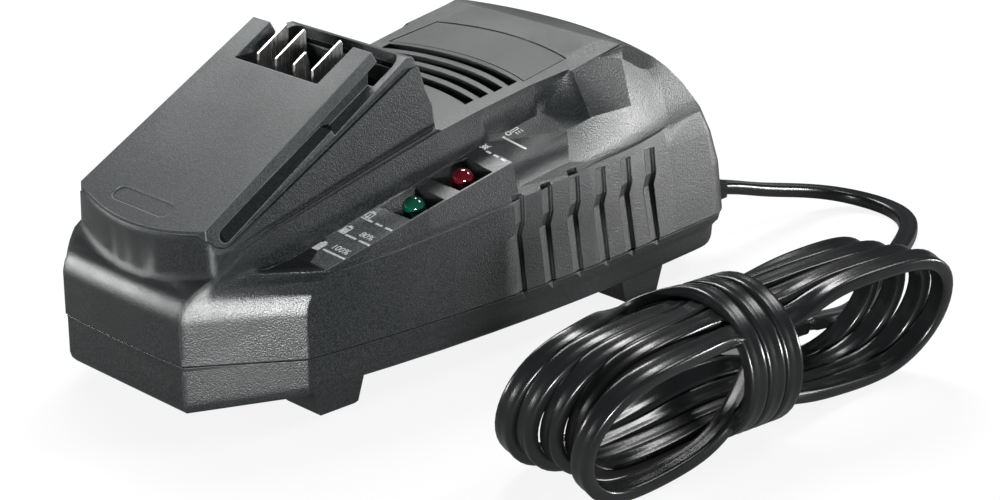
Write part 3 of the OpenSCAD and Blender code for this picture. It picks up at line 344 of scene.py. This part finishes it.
def welded(node, name, crease, seam_side=0, crisp=()):
    """A copy of a moulding, welded and smoothed. With a seam side, its outer edge is drawn in for the parting
    line: 1 cuts it above the seam, -1 below. In each box of crisp every edge over 3 degrees stays sharp."""
    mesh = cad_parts[node].data.copy()
    mesh.name = name
    bm = bmesh.new()
    bm.from_mesh(mesh)
    bmesh.ops.remove_doubles(bm, verts=bm.verts, dist=2e-6)
    bmesh.ops.dissolve_limit(bm, angle_limit=math.radians(0.5), verts=bm.verts, edges=bm.edges)
    if seam_side:
        bmesh.ops.bisect_plane(bm, geom=bm.verts[:] + bm.edges[:] + bm.faces[:], dist=1e-7,
                               plane_co=(0, 0, seam_height + seam_side * seam_half), plane_no=(0, 0, 1))
        bm.normal_update()
        for v in bm.verts:
            outwards = Vector((v.normal.x, v.normal.y, 0))
            on_seam = abs(v.co.z - seam_height) < 2e-5
            if on_seam and outwards.length > 0.2 and outwards.dot(Vector((v.co.x, v.co.y, 0))) > 0:
                v.co -= outwards.normalized() * seam_depth
    bm.to_mesh(mesh)
    bm.free()
    mesh.shade_smooth()
    mesh.set_sharp_from_angle(angle=math.radians(crease))
    if crisp:
        bm = bmesh.new()
        bm.from_mesh(mesh)
        for e in bm.edges:
            middle = (e.verts[0].co + e.verts[1].co) / 2
            middle.x = abs(middle.x)
            if e.calc_face_angle(0) > math.radians(3) and any(
                    all(a < c < b for a, c, b in zip(low, middle, high)) for low, high in crisp):
                e.smooth = False
        bm.to_mesh(mesh)
        bm.free()
    piece = placed(name, mesh)
    even = piece.modifiers.new("even shading", "WEIGHTED_NORMAL")
    even.keep_sharp = True
    even.weight = 80
    piece.data = baked(piece)
    piece.modifiers.clear()
    return piece


def moulded_plastic(name, dark, light, rough, grain, depth, gloss, edge=0.0005, core_half=0.0, edge_wear_and_highlight=0.5):
    """Spark-textured plastic: pores of two tones, a soft cloud in the gloss, paler edges that are partly wear
    and partly a painted highlight.
    """
    plastic, nt, skin = blank(name)
    skin.inputs["Specular IOR Level"].default_value = gloss
    where = add(nt, "ShaderNodeTexCoord")
    pores = add(nt, "ShaderNodeTexNoise", {"Scale": grain, "Detail": 2})
    cloud = add(nt, "ShaderNodeTexNoise", {"Scale": 40, "Detail": 3})
    tone = two_tones(nt, dark, light, 0.42, 0.62)
    round_off = add(nt, "ShaderNodeBevel", {"Radius": edge})
    round_off.samples = 4
    # where the rounded normal leaves the flat one, at the edges, the colour turns paler: partly wear, partly
    # a painted highlight
    flat = add(nt, "ShaderNodeNewGeometry")
    turned = add(nt, "ShaderNodeVectorMath", operation="DOT_PRODUCT")
    worn_and_highlit_edge = add(nt, "ShaderNodeMapRange", {"From Min": 0.99, "From Max": 0.80, "To Max": edge_wear_and_highlight})
    paler = add(nt, "ShaderNodeMix")
    paler.data_type = "RGBA"
    paler.inputs["B"].default_value = (*[c * worn_and_highlit_edge_gain for c in light], 1)
    shine = add(nt, "ShaderNodeMapRange",
                {"From Min": 0.3, "From Max": 0.7, "To Min": rough - 0.05, "To Max": rough + 0.05})
    bump = add(nt, "ShaderNodeBump", {"Strength": 0.6, "Distance": depth})
    join(nt, (where, "Object", pores, "Vector"), (where, "Object", cloud, "Vector"),
         (pores, "Fac", tone, "Fac"), (round_off, "Normal", turned, 0), (flat, "Normal", turned, 1),
         (turned, "Value", worn_and_highlit_edge, "Value"), (worn_and_highlit_edge, "Result", paler, "Factor"),
         (tone, "Color", paler, "A"), (paler, "Result", skin, "Base Color"), (cloud, "Fac", shine, "Value"),
         (shine, "Result", skin, "Roughness"), (pores, "Fac", bump, "Height"),
         (round_off, "Normal", bump, "Normal"), (bump, "Normal", skin, "Normal"))
    if core_half:
        # the nose is rolled wider, away from the seam, and the grain is finer between the core's sides
        across = add(nt, "ShaderNodeSeparateXYZ")
        from_seam = add(nt, "ShaderNodeMath", {1: seam_height, 2: 0.0022}, operation="COMPARE")
        nose = add(nt, "ShaderNodeMapRange", {"From Min": nose_from, "From Max": nose_to})
        soft = add(nt, "ShaderNodeMath", operation="SUBTRACT")
        soft.use_clamp = True
        soft_nose = add(nt, "ShaderNodeMapRange", {"To Min": edge, "To Max": nose_roll})
        off_axis = add(nt, "ShaderNodeMath", operation="ABSOLUTE")
        coarse = add(nt, "ShaderNodeMapRange",
                     {"From Min": core_half, "From Max": core_half + 0.0006, "To Min": 0.25, "To Max": 1.0})
        join(nt, (where, "Object", across, "Vector"), (across, "Z", from_seam, 0),
             (across, "Y", nose, "Value"), (nose, "Result", soft, 0), (from_seam, 0, soft, 1),
             (soft, 0, soft_nose, "Value"), (soft_nose, "Result", round_off, "Radius"),
             (across, "X", off_axis, 0), (off_axis, 0, coarse, "Value"),
             (coarse, "Result", bump, "Strength"))
    return plastic


housing_plastic = moulded_plastic("housing_plastic", (0.0045, 0.0054, 0.0057), (0.0190, 0.0217, 0.0223), 0.37,
                                  2400, 0.00009, 0.58, edge=0.00035, core_half=core_side, edge_wear_and_highlight=0.3)
side_ribs = ((0.040, 0.0, 0.0195), (0.050, 0.062, 0.0475))
nose_lip = ((-0.001, -0.105, 0.0385), (0.0285, -0.086, 0.062))
upper_shell = welded("upper_housing", "upper_shell", 12, 1, [side_ribs, nose_lip])
cover(upper_shell.data, housing_plastic)
# the lamp strip's floor gets a much paler plastic than the flanks: painted light, standing in for the light
# that its floor catches
strip_floor_painted_light = moulded_plastic("strip_floor_painted_light", (0.055, 0.060, 0.062), (0.160, 0.172, 0.176), 0.42, 2500,
                                0.00006, 0.50, edge=0.0003, edge_wear_and_highlight=0.3)
upper_shell.data.materials.append(strip_floor_painted_light)
# the faces of the strip's floor take the paler plastic, its painted light
_, on_strip, strip_up, _ = upper_shell.ray_cast(Vector((0.0385, -0.0535, 0.2)), Vector((0, 0, -1)))
for f in upper_shell.data.polygons:
    in_plane = f.normal.dot(strip_up) > 0.999 and abs((f.center - on_strip).dot(strip_up)) < 0.0003
    if f.center.x > 0.026 and in_plane:
        f.material_index = 1
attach(upper_shell, "root")
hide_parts("upper_housing")


# ---- Lower housing ----
# The tub of the same plastic from another tool, a little darker. Its four feet are moulded on, and its rolled
# rim closes under the upper shell along the dark seam.
base_plastic = moulded_plastic("base_plastic", (0.0045, 0.0054, 0.0057), (0.0185, 0.0212, 0.0218), 0.40, 2400,
                               0.00009, 0.55, edge=0.0004, core_half=core_side, edge_wear_and_highlight=0.25)
lower_shell = welded("lower_housing", "lower_shell", 12, -1)
cover(lower_shell.data, base_plastic)
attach(lower_shell, "root")
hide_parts("lower_housing")


# ---- Battery dock ----
# A separate moulding of harder, satin plastic, since the battery's rails rub on it. It drops into the collar
# and two screws from below hold it to the bridge.
# its edges turn paler still: partly worn by the rails, partly a painted highlight along the edges
dock_plastic = moulded_plastic("dock_plastic", (0.0125, 0.0145, 0.0152), (0.042, 0.0460, 0.0475), 0.39, 2300,
                               0.00008, 0.50, edge=0.0004, edge_wear_and_highlight=1.0)
dock = welded("battery_dock", "dock", 20)
cover(dock.data, dock_plastic)
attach(dock, "root")
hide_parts("battery_dock")


# ---- Plate on the hump ----
# A thin satin plate, left bare. It is blanked from sheet and pressed into the shallow recess that the upper
# housing has behind the air slots.
plate_film = moulded_plastic("plate_film", (0.016, 0.018, 0.0185), (0.030, 0.033, 0.034), 0.40, 2600,
                             0.00005, 0.50, edge=0.0002)
plate = welded("name_plate", "hump_plate", 20)
cover(plate.data, plate_film)
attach(plate, "root")
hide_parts("name_plate")


# ---- Prints on the lamp strip ----
# White ink pressed on the strip: three charge levels under the green lamp, two fault rows over the red one,
# each with its icon. The rows of bars repeat and come from one Geometry Nodes tree, laid flat and then set on
# the strip.
def tree_with(name, inputs, result):
    """A Geometry Nodes tree with these named inputs, and one result."""
    tree = bpy.data.node_groups.new(name, "GeometryNodeTree")
    for label, kind in inputs:
        tree.interface.new_socket(label, in_out="INPUT", socket_type="NodeSocket" + kind)
    tree.interface.new_socket(result, in_out="OUTPUT", socket_type="NodeSocketGeometry")
    return tree, add(tree, "NodeGroupInput"), add(tree, "NodeGroupOutput")


def ink_bars():
    """A row of bars along X: how many, how long, how thick and how far apart."""
    tree, given, out = tree_with("ink_bars", (("Count", "Int"), ("Length", "Float"), ("Thickness", "Float"),
                                              ("Gap", "Float"), ("Ink", "Material")), "Bars")
    bar = add(tree, "GeometryNodeMeshGrid", {"Vertices X": 8, "Vertices Y": 2})
    pitch = add(tree, "ShaderNodeMath")
    offset = add(tree, "ShaderNodeCombineXYZ")
    row = add(tree, "GeometryNodeMeshLine")
    spread = add(tree, "GeometryNodeInstanceOnPoints")
    real = add(tree, "GeometryNodeRealizeInstances")
    inked = add(tree, "GeometryNodeSetMaterial")
    join(tree, (given, "Length", bar, "Size X"), (given, "Thickness", bar, "Size Y"),
         (given, "Length", pitch, 0), (given, "Gap", pitch, 1), (pitch, 0, offset, "X"),
         (given, "Count", row, "Count"), (offset, 0, row, "Offset"), (row, "Mesh", spread, "Points"),
         (bar, "Mesh", spread, "Instance"), (spread, "Instances", real, "Geometry"),
         (real, "Geometry", inked, "Geometry"), (given, "Ink", inked, "Material"),
         (inked, "Geometry", out, "Bars"))
    return tree


def grown(tree, name, settings):
    """A plain mesh piece from a tree, with its named inputs set before it is first evaluated."""
    piece = placed(name, bpy.data.meshes.new(name + "_seed"))
    maker = piece.modifiers.new("maker", "NODES")
    maker.node_group = tree
    for item in tree.interface.items_tree:
        if item.in_out == "INPUT" and item.name in settings:
            maker[item.identifier] = settings[item.name]
    mesh = baked(piece)
    mesh.name = name
    piece.modifiers.clear()
    piece.data = mesh
    return piece


white_ink, nt, skin = blank("white_ink")
skin.inputs["Specular IOR Level"].default_value = 0.35
where = add(nt, "ShaderNodeTexCoord")
mottle = add(nt, "ShaderNodeTexNoise", {"Scale": 2400})
tone = two_tones(nt, (0.46, 0.47, 0.47), (0.86, 0.87, 0.87), 0.32, 0.55)
rub = add(nt, "ShaderNodeMapRange", {"To Min": 0.42, "To Max": 0.60})
bump = add(nt, "ShaderNodeBump", {"Strength": 0.3, "Distance": 0.00004})
join(nt, (where, "Object", mottle, "Vector"), (mottle, "Fac", tone, "Fac"),
     (tone, "Color", skin, "Base Color"), (mottle, "Fac", rub, "Value"), (rub, "Result", skin, "Roughness"),
     (mottle, "Fac", bump, "Height"), (bump, "Normal", skin, "Normal"))

# the prints are drawn in mm as seen from above, and the ink then lies 0.06 mm proud of the strip
bars = ink_bars()
bar_t, stroke_t = 0.75, 0.4
ink_t = 0.00006
flat_prints = []
for count, x0, x1, gap, y in ((1, 34.1, 42.6, 0, -59.0), (2, 33.6, 43.1, 1.1, -51.0),
                              (3, 32.4, 42.7, 1.2, -42.9), (3, 33.9, 41.4, 1.1, -0.85),
                              (1, 31.9, 41.1, 0, 7.2)):
    long = (x1 - x0 - gap * (count - 1)) / count
    row = grown(bars, "row_of_ink", {"Count": count, "Length": long / 1000, "Thickness": bar_t / 1000,
                                     "Gap": gap / 1000, "Ink": white_ink})
    row.data.transform(Matrix.Translation(((x0 + long / 2) / 1000, y / 1000, 0)))
    flat_prints.append(row)
icon = bmesh.new()


def ink_shape(*points):
    icon.faces.new([icon.verts.new((x / 1000, y / 1000, 0)) for x, y in points])


def ink_frame(outer, inner):
    n = len(outer)
    for i in range(n):
        ink_shape(outer[i], outer[(i + 1) % n], inner[(i + 1) % n], inner[i])


def ink_ring(x, y, r, thick):
    around = [(math.cos(math.radians(a)), math.sin(math.radians(a))) for a in range(0, 360, 20)]
    ink_frame([(x + r * c, y + r * d) for c, d in around],
              [(x + (r - thick) * c, y + (r - thick) * d) for c, d in around])


def ink_stroke(x0, y0, x1, y1):
    run = math.hypot(x1 - x0, y1 - y0)
    dx, dy = (y0 - y1) / run * stroke_t / 2, (x1 - x0) / run * stroke_t / 2
    ink_shape((x0 - dx, y0 - dy), (x1 - dx, y1 - dy), (x1 + dx, y1 + dy), (x0 + dx, y0 + dy))


def ink_battery(x, y, level):
    body = [(x - 1.25, y - 2.0), (x + 1.25, y - 2.0), (x + 1.25, y + 1.4), (x - 1.25, y + 1.4)]
    inner = [(x - 0.85, y - 1.6), (x + 0.85, y - 1.6), (x + 0.85, y + 1.0), (x - 0.85, y + 1.0)]
    ink_frame(body, inner)
    ink_shape((x - 0.7, y + 1.4), (x + 0.7, y + 1.4), (x + 0.7, y + 2.0), (x - 0.7, y + 2.0))
    if level:
        filled = y - 1.6 + 2.6 * level
        ink_shape((x - 0.85, y - 1.6), (x + 0.85, y - 1.6), (x + 0.85, filled), (x - 0.85, filled))


ink_battery(32.1, -58.2, 1.0)
ink_battery(32.0, -49.2, 0.8)
ink_battery(31.9, -41.2, 0.0)
ink_stroke(31.9, -40.6, 31.9, -42.4)
ink_stroke(31.3, -41.7, 31.9, -42.6)
ink_stroke(32.5, -41.7, 31.9, -42.6)
ink_ring(32.2, 0.4, 0.95, stroke_t)
ink_stroke(31.1, -0.8, 33.3, 1.6)
ink_stroke(31.1, 1.6, 33.3, -0.8)
ink_ring(32.0, 9.3, 0.95, 0.45)
ink_frame([(31.5, 9.9), (32.5, 9.9), (32.5, 13.0), (31.5, 13.0)],
          [(31.8, 10.2), (32.2, 10.2), (32.2, 12.7), (31.8, 12.7)])
for mark in (11.0, 11.9, 12.8):
    ink_stroke(33.0, mark, 34.2, mark)
mesh = bpy.data.meshes.new("icons")
icon.to_mesh(mesh)
icon.free()
mesh.materials.append(white_ink)
flat_prints.append(placed("icons", mesh))
for level, x, y in (("100%", 38.2, -56.6), ("80%", 39.2, -48.5)):
    letters = bpy.data.curves.new("level", "FONT")
    letters.body = level
    letters.align_x, letters.align_y = "CENTER", "CENTER"
    letters.size = 0.0029
    letters.offset = 0.00006
    typed = placed("level", letters)
    bpy.context.view_layer.update()
    mesh = baked(typed)
    bpy.data.objects.remove(typed)
    mesh.transform(Matrix.Translation((x / 1000, y / 1000, 0)))
    cover(mesh, white_ink)
    flat_prints.append(placed("level", mesh))

bm = bmesh.new()
for part in flat_prints:
    bm.from_mesh(part.data)
    bpy.data.objects.remove(part)
bmesh.ops.triangulate(bm, faces=bm.faces)
for face in bm.faces:
    face.normal_update()
    if face.normal.z < 0:
        face.normal_flip()
    face.material_index = 0
for v in bm.verts:
    _, spot, facing, _ = upper_shell.ray_cast(Vector((v.co.x, v.co.y, 0.09)), Vector((0, 0, -1)))
    v.co = spot + facing * ink_t
mesh = bpy.data.meshes.new("strip_prints")
bm.to_mesh(mesh)
bm.free()
mesh.materials.append(white_ink)
strip_prints = placed("strip_prints", mesh)
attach(strip_prints, "root")


# ---- Contact blades and their carrier ----
# Nickel-plated strip, blanked and stood on edge: three full blades and a short one. The moulded black carrier
# under the pocket holds them, and the bar that clamps the lead inside is of the same plastic.
def stock(name, dark, light, rough, scale, depth, gloss=0.5, metal=0.0, drawn=(1, 1, 1), edge=0.0002,
          spread=0.07):
    """Bought-in stock: two tones in a drawn-out noise, which also varies the gloss and the relief."""
    made, nt, skin = blank(name)
    skin.inputs["Metallic"].default_value = metal
    skin.inputs["Specular IOR Level"].default_value = gloss
    where = add(nt, "ShaderNodeTexCoord")
    pulled = add(nt, "ShaderNodeMapping", {"Scale": drawn})
    grain = add(nt, "ShaderNodeTexNoise", {"Scale": scale, "Detail": 3})
    tone = two_tones(nt, dark, light, 0.35, 0.65)
    rub = add(nt, "ShaderNodeMapRange",
              {"From Min": 0.3, "From Max": 0.7, "To Min": rough - spread, "To Max": rough + spread})
    bump = add(nt, "ShaderNodeBump", {"Strength": 0.5, "Distance": depth})
    round_off = add(nt, "ShaderNodeBevel", {"Radius": edge})
    round_off.samples = 4
    join(nt, (where, "Object", pulled, "Vector"), (pulled, "Vector", grain, "Vector"),
         (grain, "Fac", tone, "Fac"), (tone, "Color", skin, "Base Color"), (grain, "Fac", rub, "Value"),
         (rub, "Result", skin, "Roughness"), (grain, "Fac", bump, "Height"),
         (round_off, "Normal", bump, "Normal"), (bump, "Normal", skin, "Normal"))
    return made


def dress(material, *nodes):
    """A material for nodes that are shown as they are."""
    for node in nodes:
        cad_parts[node].material_slots[0].material = material


blade_metal = stock("blade_metal", (0.66, 0.66, 0.64), (0.84, 0.84, 0.82), 0.24, 3000, 0.000006, metal=1.0,
                    drawn=(1, 1, 0.05), edge=0.0003, spread=0.05)
dress(blade_metal, "contact_blades", "short_blade")
dress(stock("carrier_plastic", (0.010, 0.010, 0.011), (0.022, 0.022, 0.024), 0.50, 1500, 0.00003),
      "contact_carrier", "lead_clamp")


# ---- Lamps ----
# Two 6 mm lamps of clear tinted resin, domed, that stand in the pyramid pockets. The resin is brighter
# towards the foot, where the cup lies in it, and deeper in tone at the top.
dome_foot, dome_wider, dome_higher = 0.0060, 0.08, 0.0008
for node, name, deep, bright in (("green_lamp", "green_lens", (0.0008, 0.055, 0.034), (0.003, 0.19, 0.12)),
                                 ("red_lamp", "red_lens", (0.085, 0.0008, 0.005), (0.30, 0.004, 0.020))):
    lens_resin, nt, skin = blank(name)
    skin.inputs["Roughness"].default_value = 0.06
    skin.inputs["IOR"].default_value = 1.54
    skin.inputs["Transmission Weight"].default_value = 0.25
    skin.inputs["Coat Weight"].default_value = 0.6
    skin.inputs["Coat Roughness"].default_value = 0.03
    low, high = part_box(node)
    where = add(nt, "ShaderNodeTexCoord")
    height = add(nt, "ShaderNodeSeparateXYZ")
    depth = add(nt, "ShaderNodeMapRange", {"From Min": high[2] - 0.0065, "From Max": high[2] - 0.0010})
    swirl = add(nt, "ShaderNodeTexNoise", {"Scale": 420})
    tone = two_tones(nt, bright, deep)
    wave = add(nt, "ShaderNodeBump", {"Strength": 0.08, "Distance": 0.0002})
    join(nt, (where, "Object", height, "Vector"), (height, "Z", depth, "Value"),
         (depth, "Result", tone, "Fac"), (tone, "Color", skin, "Base Color"),
         (where, "Object", swirl, "Vector"), (swirl, "Fac", wave, "Height"),
         (wave, "Normal", skin, "Normal"))
    lens_piece = welded(node, node + "_lens", 40)
    for v in lens_piece.data.vertices:
        if v.co.z > high[2] - dome_foot:
            v.co.x += (v.co.x - (low[0] + high[0]) / 2) * dome_wider
            v.co.z += dome_higher
    cover(lens_piece.data, lens_resin)
    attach(lens_piece, "root")
    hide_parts(node)


# ---- Lamp board and its wires ----
# A narrow board of tan laminate under the lamp strip carries both lamps. Three yellow wires run from it down
# to the main board, which is of the same laminate.
dress(stock("board_laminate", (0.34, 0.25, 0.10), (0.48, 0.37, 0.17), 0.42, 700, 0.00003, drawn=(1, 0.12, 1)),
      "lamp_board", "circuit_board")
dress(stock("wire_yellow", (0.44, 0.36, 0.03), (0.60, 0.50, 0.07), 0.40, 500, 0.00003), "lamp_leads")


# ---- Transformer ----
# A ground ferrite core round a moulded black bobbin, which is wound with enamelled wire under yellow tape.
# The bobbin stands on the main board.
dress(stock("ferrite", (0.018, 0.018, 0.019), (0.045, 0.045, 0.047), 0.55, 900, 0.00005), "transformer_core")
dress(stock("bobbin_plastic", (0.013, 0.013, 0.013), (0.028, 0.028, 0.028), 0.45, 600, 0.00003),
      "transformer_bobbin")
dress(stock("winding_tape", (0.46, 0.32, 0.03), (0.62, 0.46, 0.07), 0.34, 420, 0.00012,
            drawn=(0.15, 0.15, 3)), "transformer_winding")


# ---- Capacitors ----
# Aluminium cans in dark blue shrink sleeve, soldered upright on the main board, and one yellow film capacitor
# in a cast case.
dress(stock("capacitor_sleeve", (0.010, 0.012, 0.040), (0.022, 0.026, 0.085), 0.25, 300, 0.00003),
      "mains_capacitor", "output_capacitors")
dress(stock("film_case", (0.50, 0.28, 0.010), (0.66, 0.42, 0.03), 0.48, 800, 0.00006), "film_capacitor")


# ---- Line choke ----
# Enamelled wire wound round a ferrite ring on the main board. The turns repeat round the ring and come from
# a Geometry Nodes tree: points on a circle, one loop of wire on each.
copper_winding = stock("copper_winding", (0.34, 0.10, 0.022), (0.56, 0.21, 0.06), 0.24, 900, 0.00002,
                       metal=0.7)
ring_ferrite = stock("ring_ferrite", (0.020, 0.035, 0.025), (0.040, 0.065, 0.048), 0.50, 900, 0.00004)
tree, given, out = tree_with("wound_ring", (("Turns", "Int"), ("Ring radius", "Float"),
                                            ("Loop radius", "Float"), ("Wire radius", "Float"),
                                            ("Wire", "Material"), ("Ring", "Material")), "Choke")
circle = add(tree, "GeometryNodeCurvePrimitiveCircle")
stations = add(tree, "GeometryNodeCurveToPoints")
loop = add(tree, "GeometryNodeCurvePrimitiveCircle", {"Resolution": 24})
section = add(tree, "GeometryNodeCurvePrimitiveCircle", {"Resolution": 10})
turn = add(tree, "GeometryNodeCurveToMesh")
spread = add(tree, "GeometryNodeInstanceOnPoints")
inside = add(tree, "ShaderNodeMath", operation="SUBTRACT")
ring_section = add(tree, "GeometryNodeCurvePrimitiveCircle", {"Resolution": 20})
ring = add(tree, "GeometryNodeCurveToMesh")
real = add(tree, "GeometryNodeRealizeInstances")
wired = add(tree, "GeometryNodeSetMaterial")
ringed = add(tree, "GeometryNodeSetMaterial")
whole = add(tree, "GeometryNodeJoinGeometry")
join(tree, (given, "Ring radius", circle, "Radius"), (circle, "Curve", stations, "Curve"),
     (given, "Turns", stations, "Count"), (given, "Loop radius", loop, "Radius"),
     (given, "Wire radius", section, "Radius"), (loop, "Curve", turn, "Curve"),
     (section, "Curve", turn, "Profile Curve"), (stations, "Points", spread, "Points"),
     (stations, "Rotation", spread, "Rotation"), (turn, "Mesh", spread, "Instance"),
     (spread, "Instances", real, "Geometry"), (real, "Geometry", wired, "Geometry"),
     (given, "Wire", wired, "Material"), (given, "Loop radius", inside, 0),
     (given, "Wire radius", inside, 1), (inside, 0, ring_section, "Radius"),
     (circle, "Curve", ring, "Curve"), (ring_section, "Curve", ring, "Profile Curve"),
     (ring, "Mesh", ringed, "Geometry"), (given, "Ring", ringed, "Material"),
     (ringed, "Geometry", whole, "Geometry"), (wired, "Geometry", whole, "Geometry"),
     (whole, "Geometry", out, "Choke"))
choke = grown(tree, "wound_choke", {"Turns": 34, "Ring radius": 0.0067, "Loop radius": 0.0029,
                                    "Wire radius": 0.00042, "Wire": copper_winding, "Ring": ring_ferrite})
low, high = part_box("line_choke")
choke.data.transform(Matrix.Translation([(a + b) / 2 for a, b in zip(low, high)]))
choke.data.shade_smooth()
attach(choke, "root")
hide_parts("line_choke")


# ---- Fuse, heat sinks and devices ----
# A ceramic fuse, two aluminium heat sinks, each a plate with five fins and a device in black epoxy on its
# back, and the black control chips, all soldered to the main board.
dress(stock("fuse_ceramic", (0.60, 0.57, 0.50), (0.78, 0.76, 0.71), 0.28, 400, 0.00002), "mains_fuse")
dress(stock("sink_aluminium", (0.52, 0.52, 0.54), (0.70, 0.70, 0.72), 0.38, 1800, 0.00002, metal=1.0,
            drawn=(1, 1, 0.05)), "heat_sinks")
dress(stock("device_epoxy", (0.016, 0.016, 0.018), (0.034, 0.034, 0.037), 0.55, 1600, 0.00003),
      "switch_transistor", "output_rectifier", "control_chips")


# ---- Wires ----
# Stranded wires in soft plastic. Red ones rise from the board to the blades, and blue ones run from the
# lead's clamp to the board.
dress(stock("wire_red", (0.32, 0.010, 0.010), (0.48, 0.028, 0.026), 0.38, 500, 0.00003), "dock_leads")
dress(stock("wire_blue", (0.012, 0.055, 0.26), (0.030, 0.105, 0.42), 0.38, 500, 0.00003), "mains_wires")


# ---- Screws ----
# Zinc-plated thread-forming screws: two for the dock, four for the housing, four for the board and two for
# the clamp.
dress(stock("screw_steel", (0.42, 0.42, 0.42), (0.60, 0.60, 0.61), 0.30, 1200, 0.00002, metal=1.0),
      "dock_screws", "housing_screws", "board_screws", "clamp_screws")


# ---- Strain relief ----
# A tapered sleeve of the lead's own soft black plastic. It is moulded on the lead and held between the two
# shells, in the rear wall.
dress(lead_plastic, "strain_relief")


# ---- Plug and its pins ----
# A flat two-pin plug of matt black plastic, moulded on the end of the lead. The pins are brass with a
# nickel finish.
dress(stock("plug_plastic", (0.010, 0.0105, 0.011), (0.026, 0.027, 0.028), 0.42, 1500, 0.00005, edge=0.0006),
      "plug_body")
dress(stock("pin_brass", (0.62, 0.58, 0.46), (0.80, 0.76, 0.63), 0.22, 1200, 0.00001, metal=1.0,
            drawn=(1, 1, 0.2)), "plug_pins")
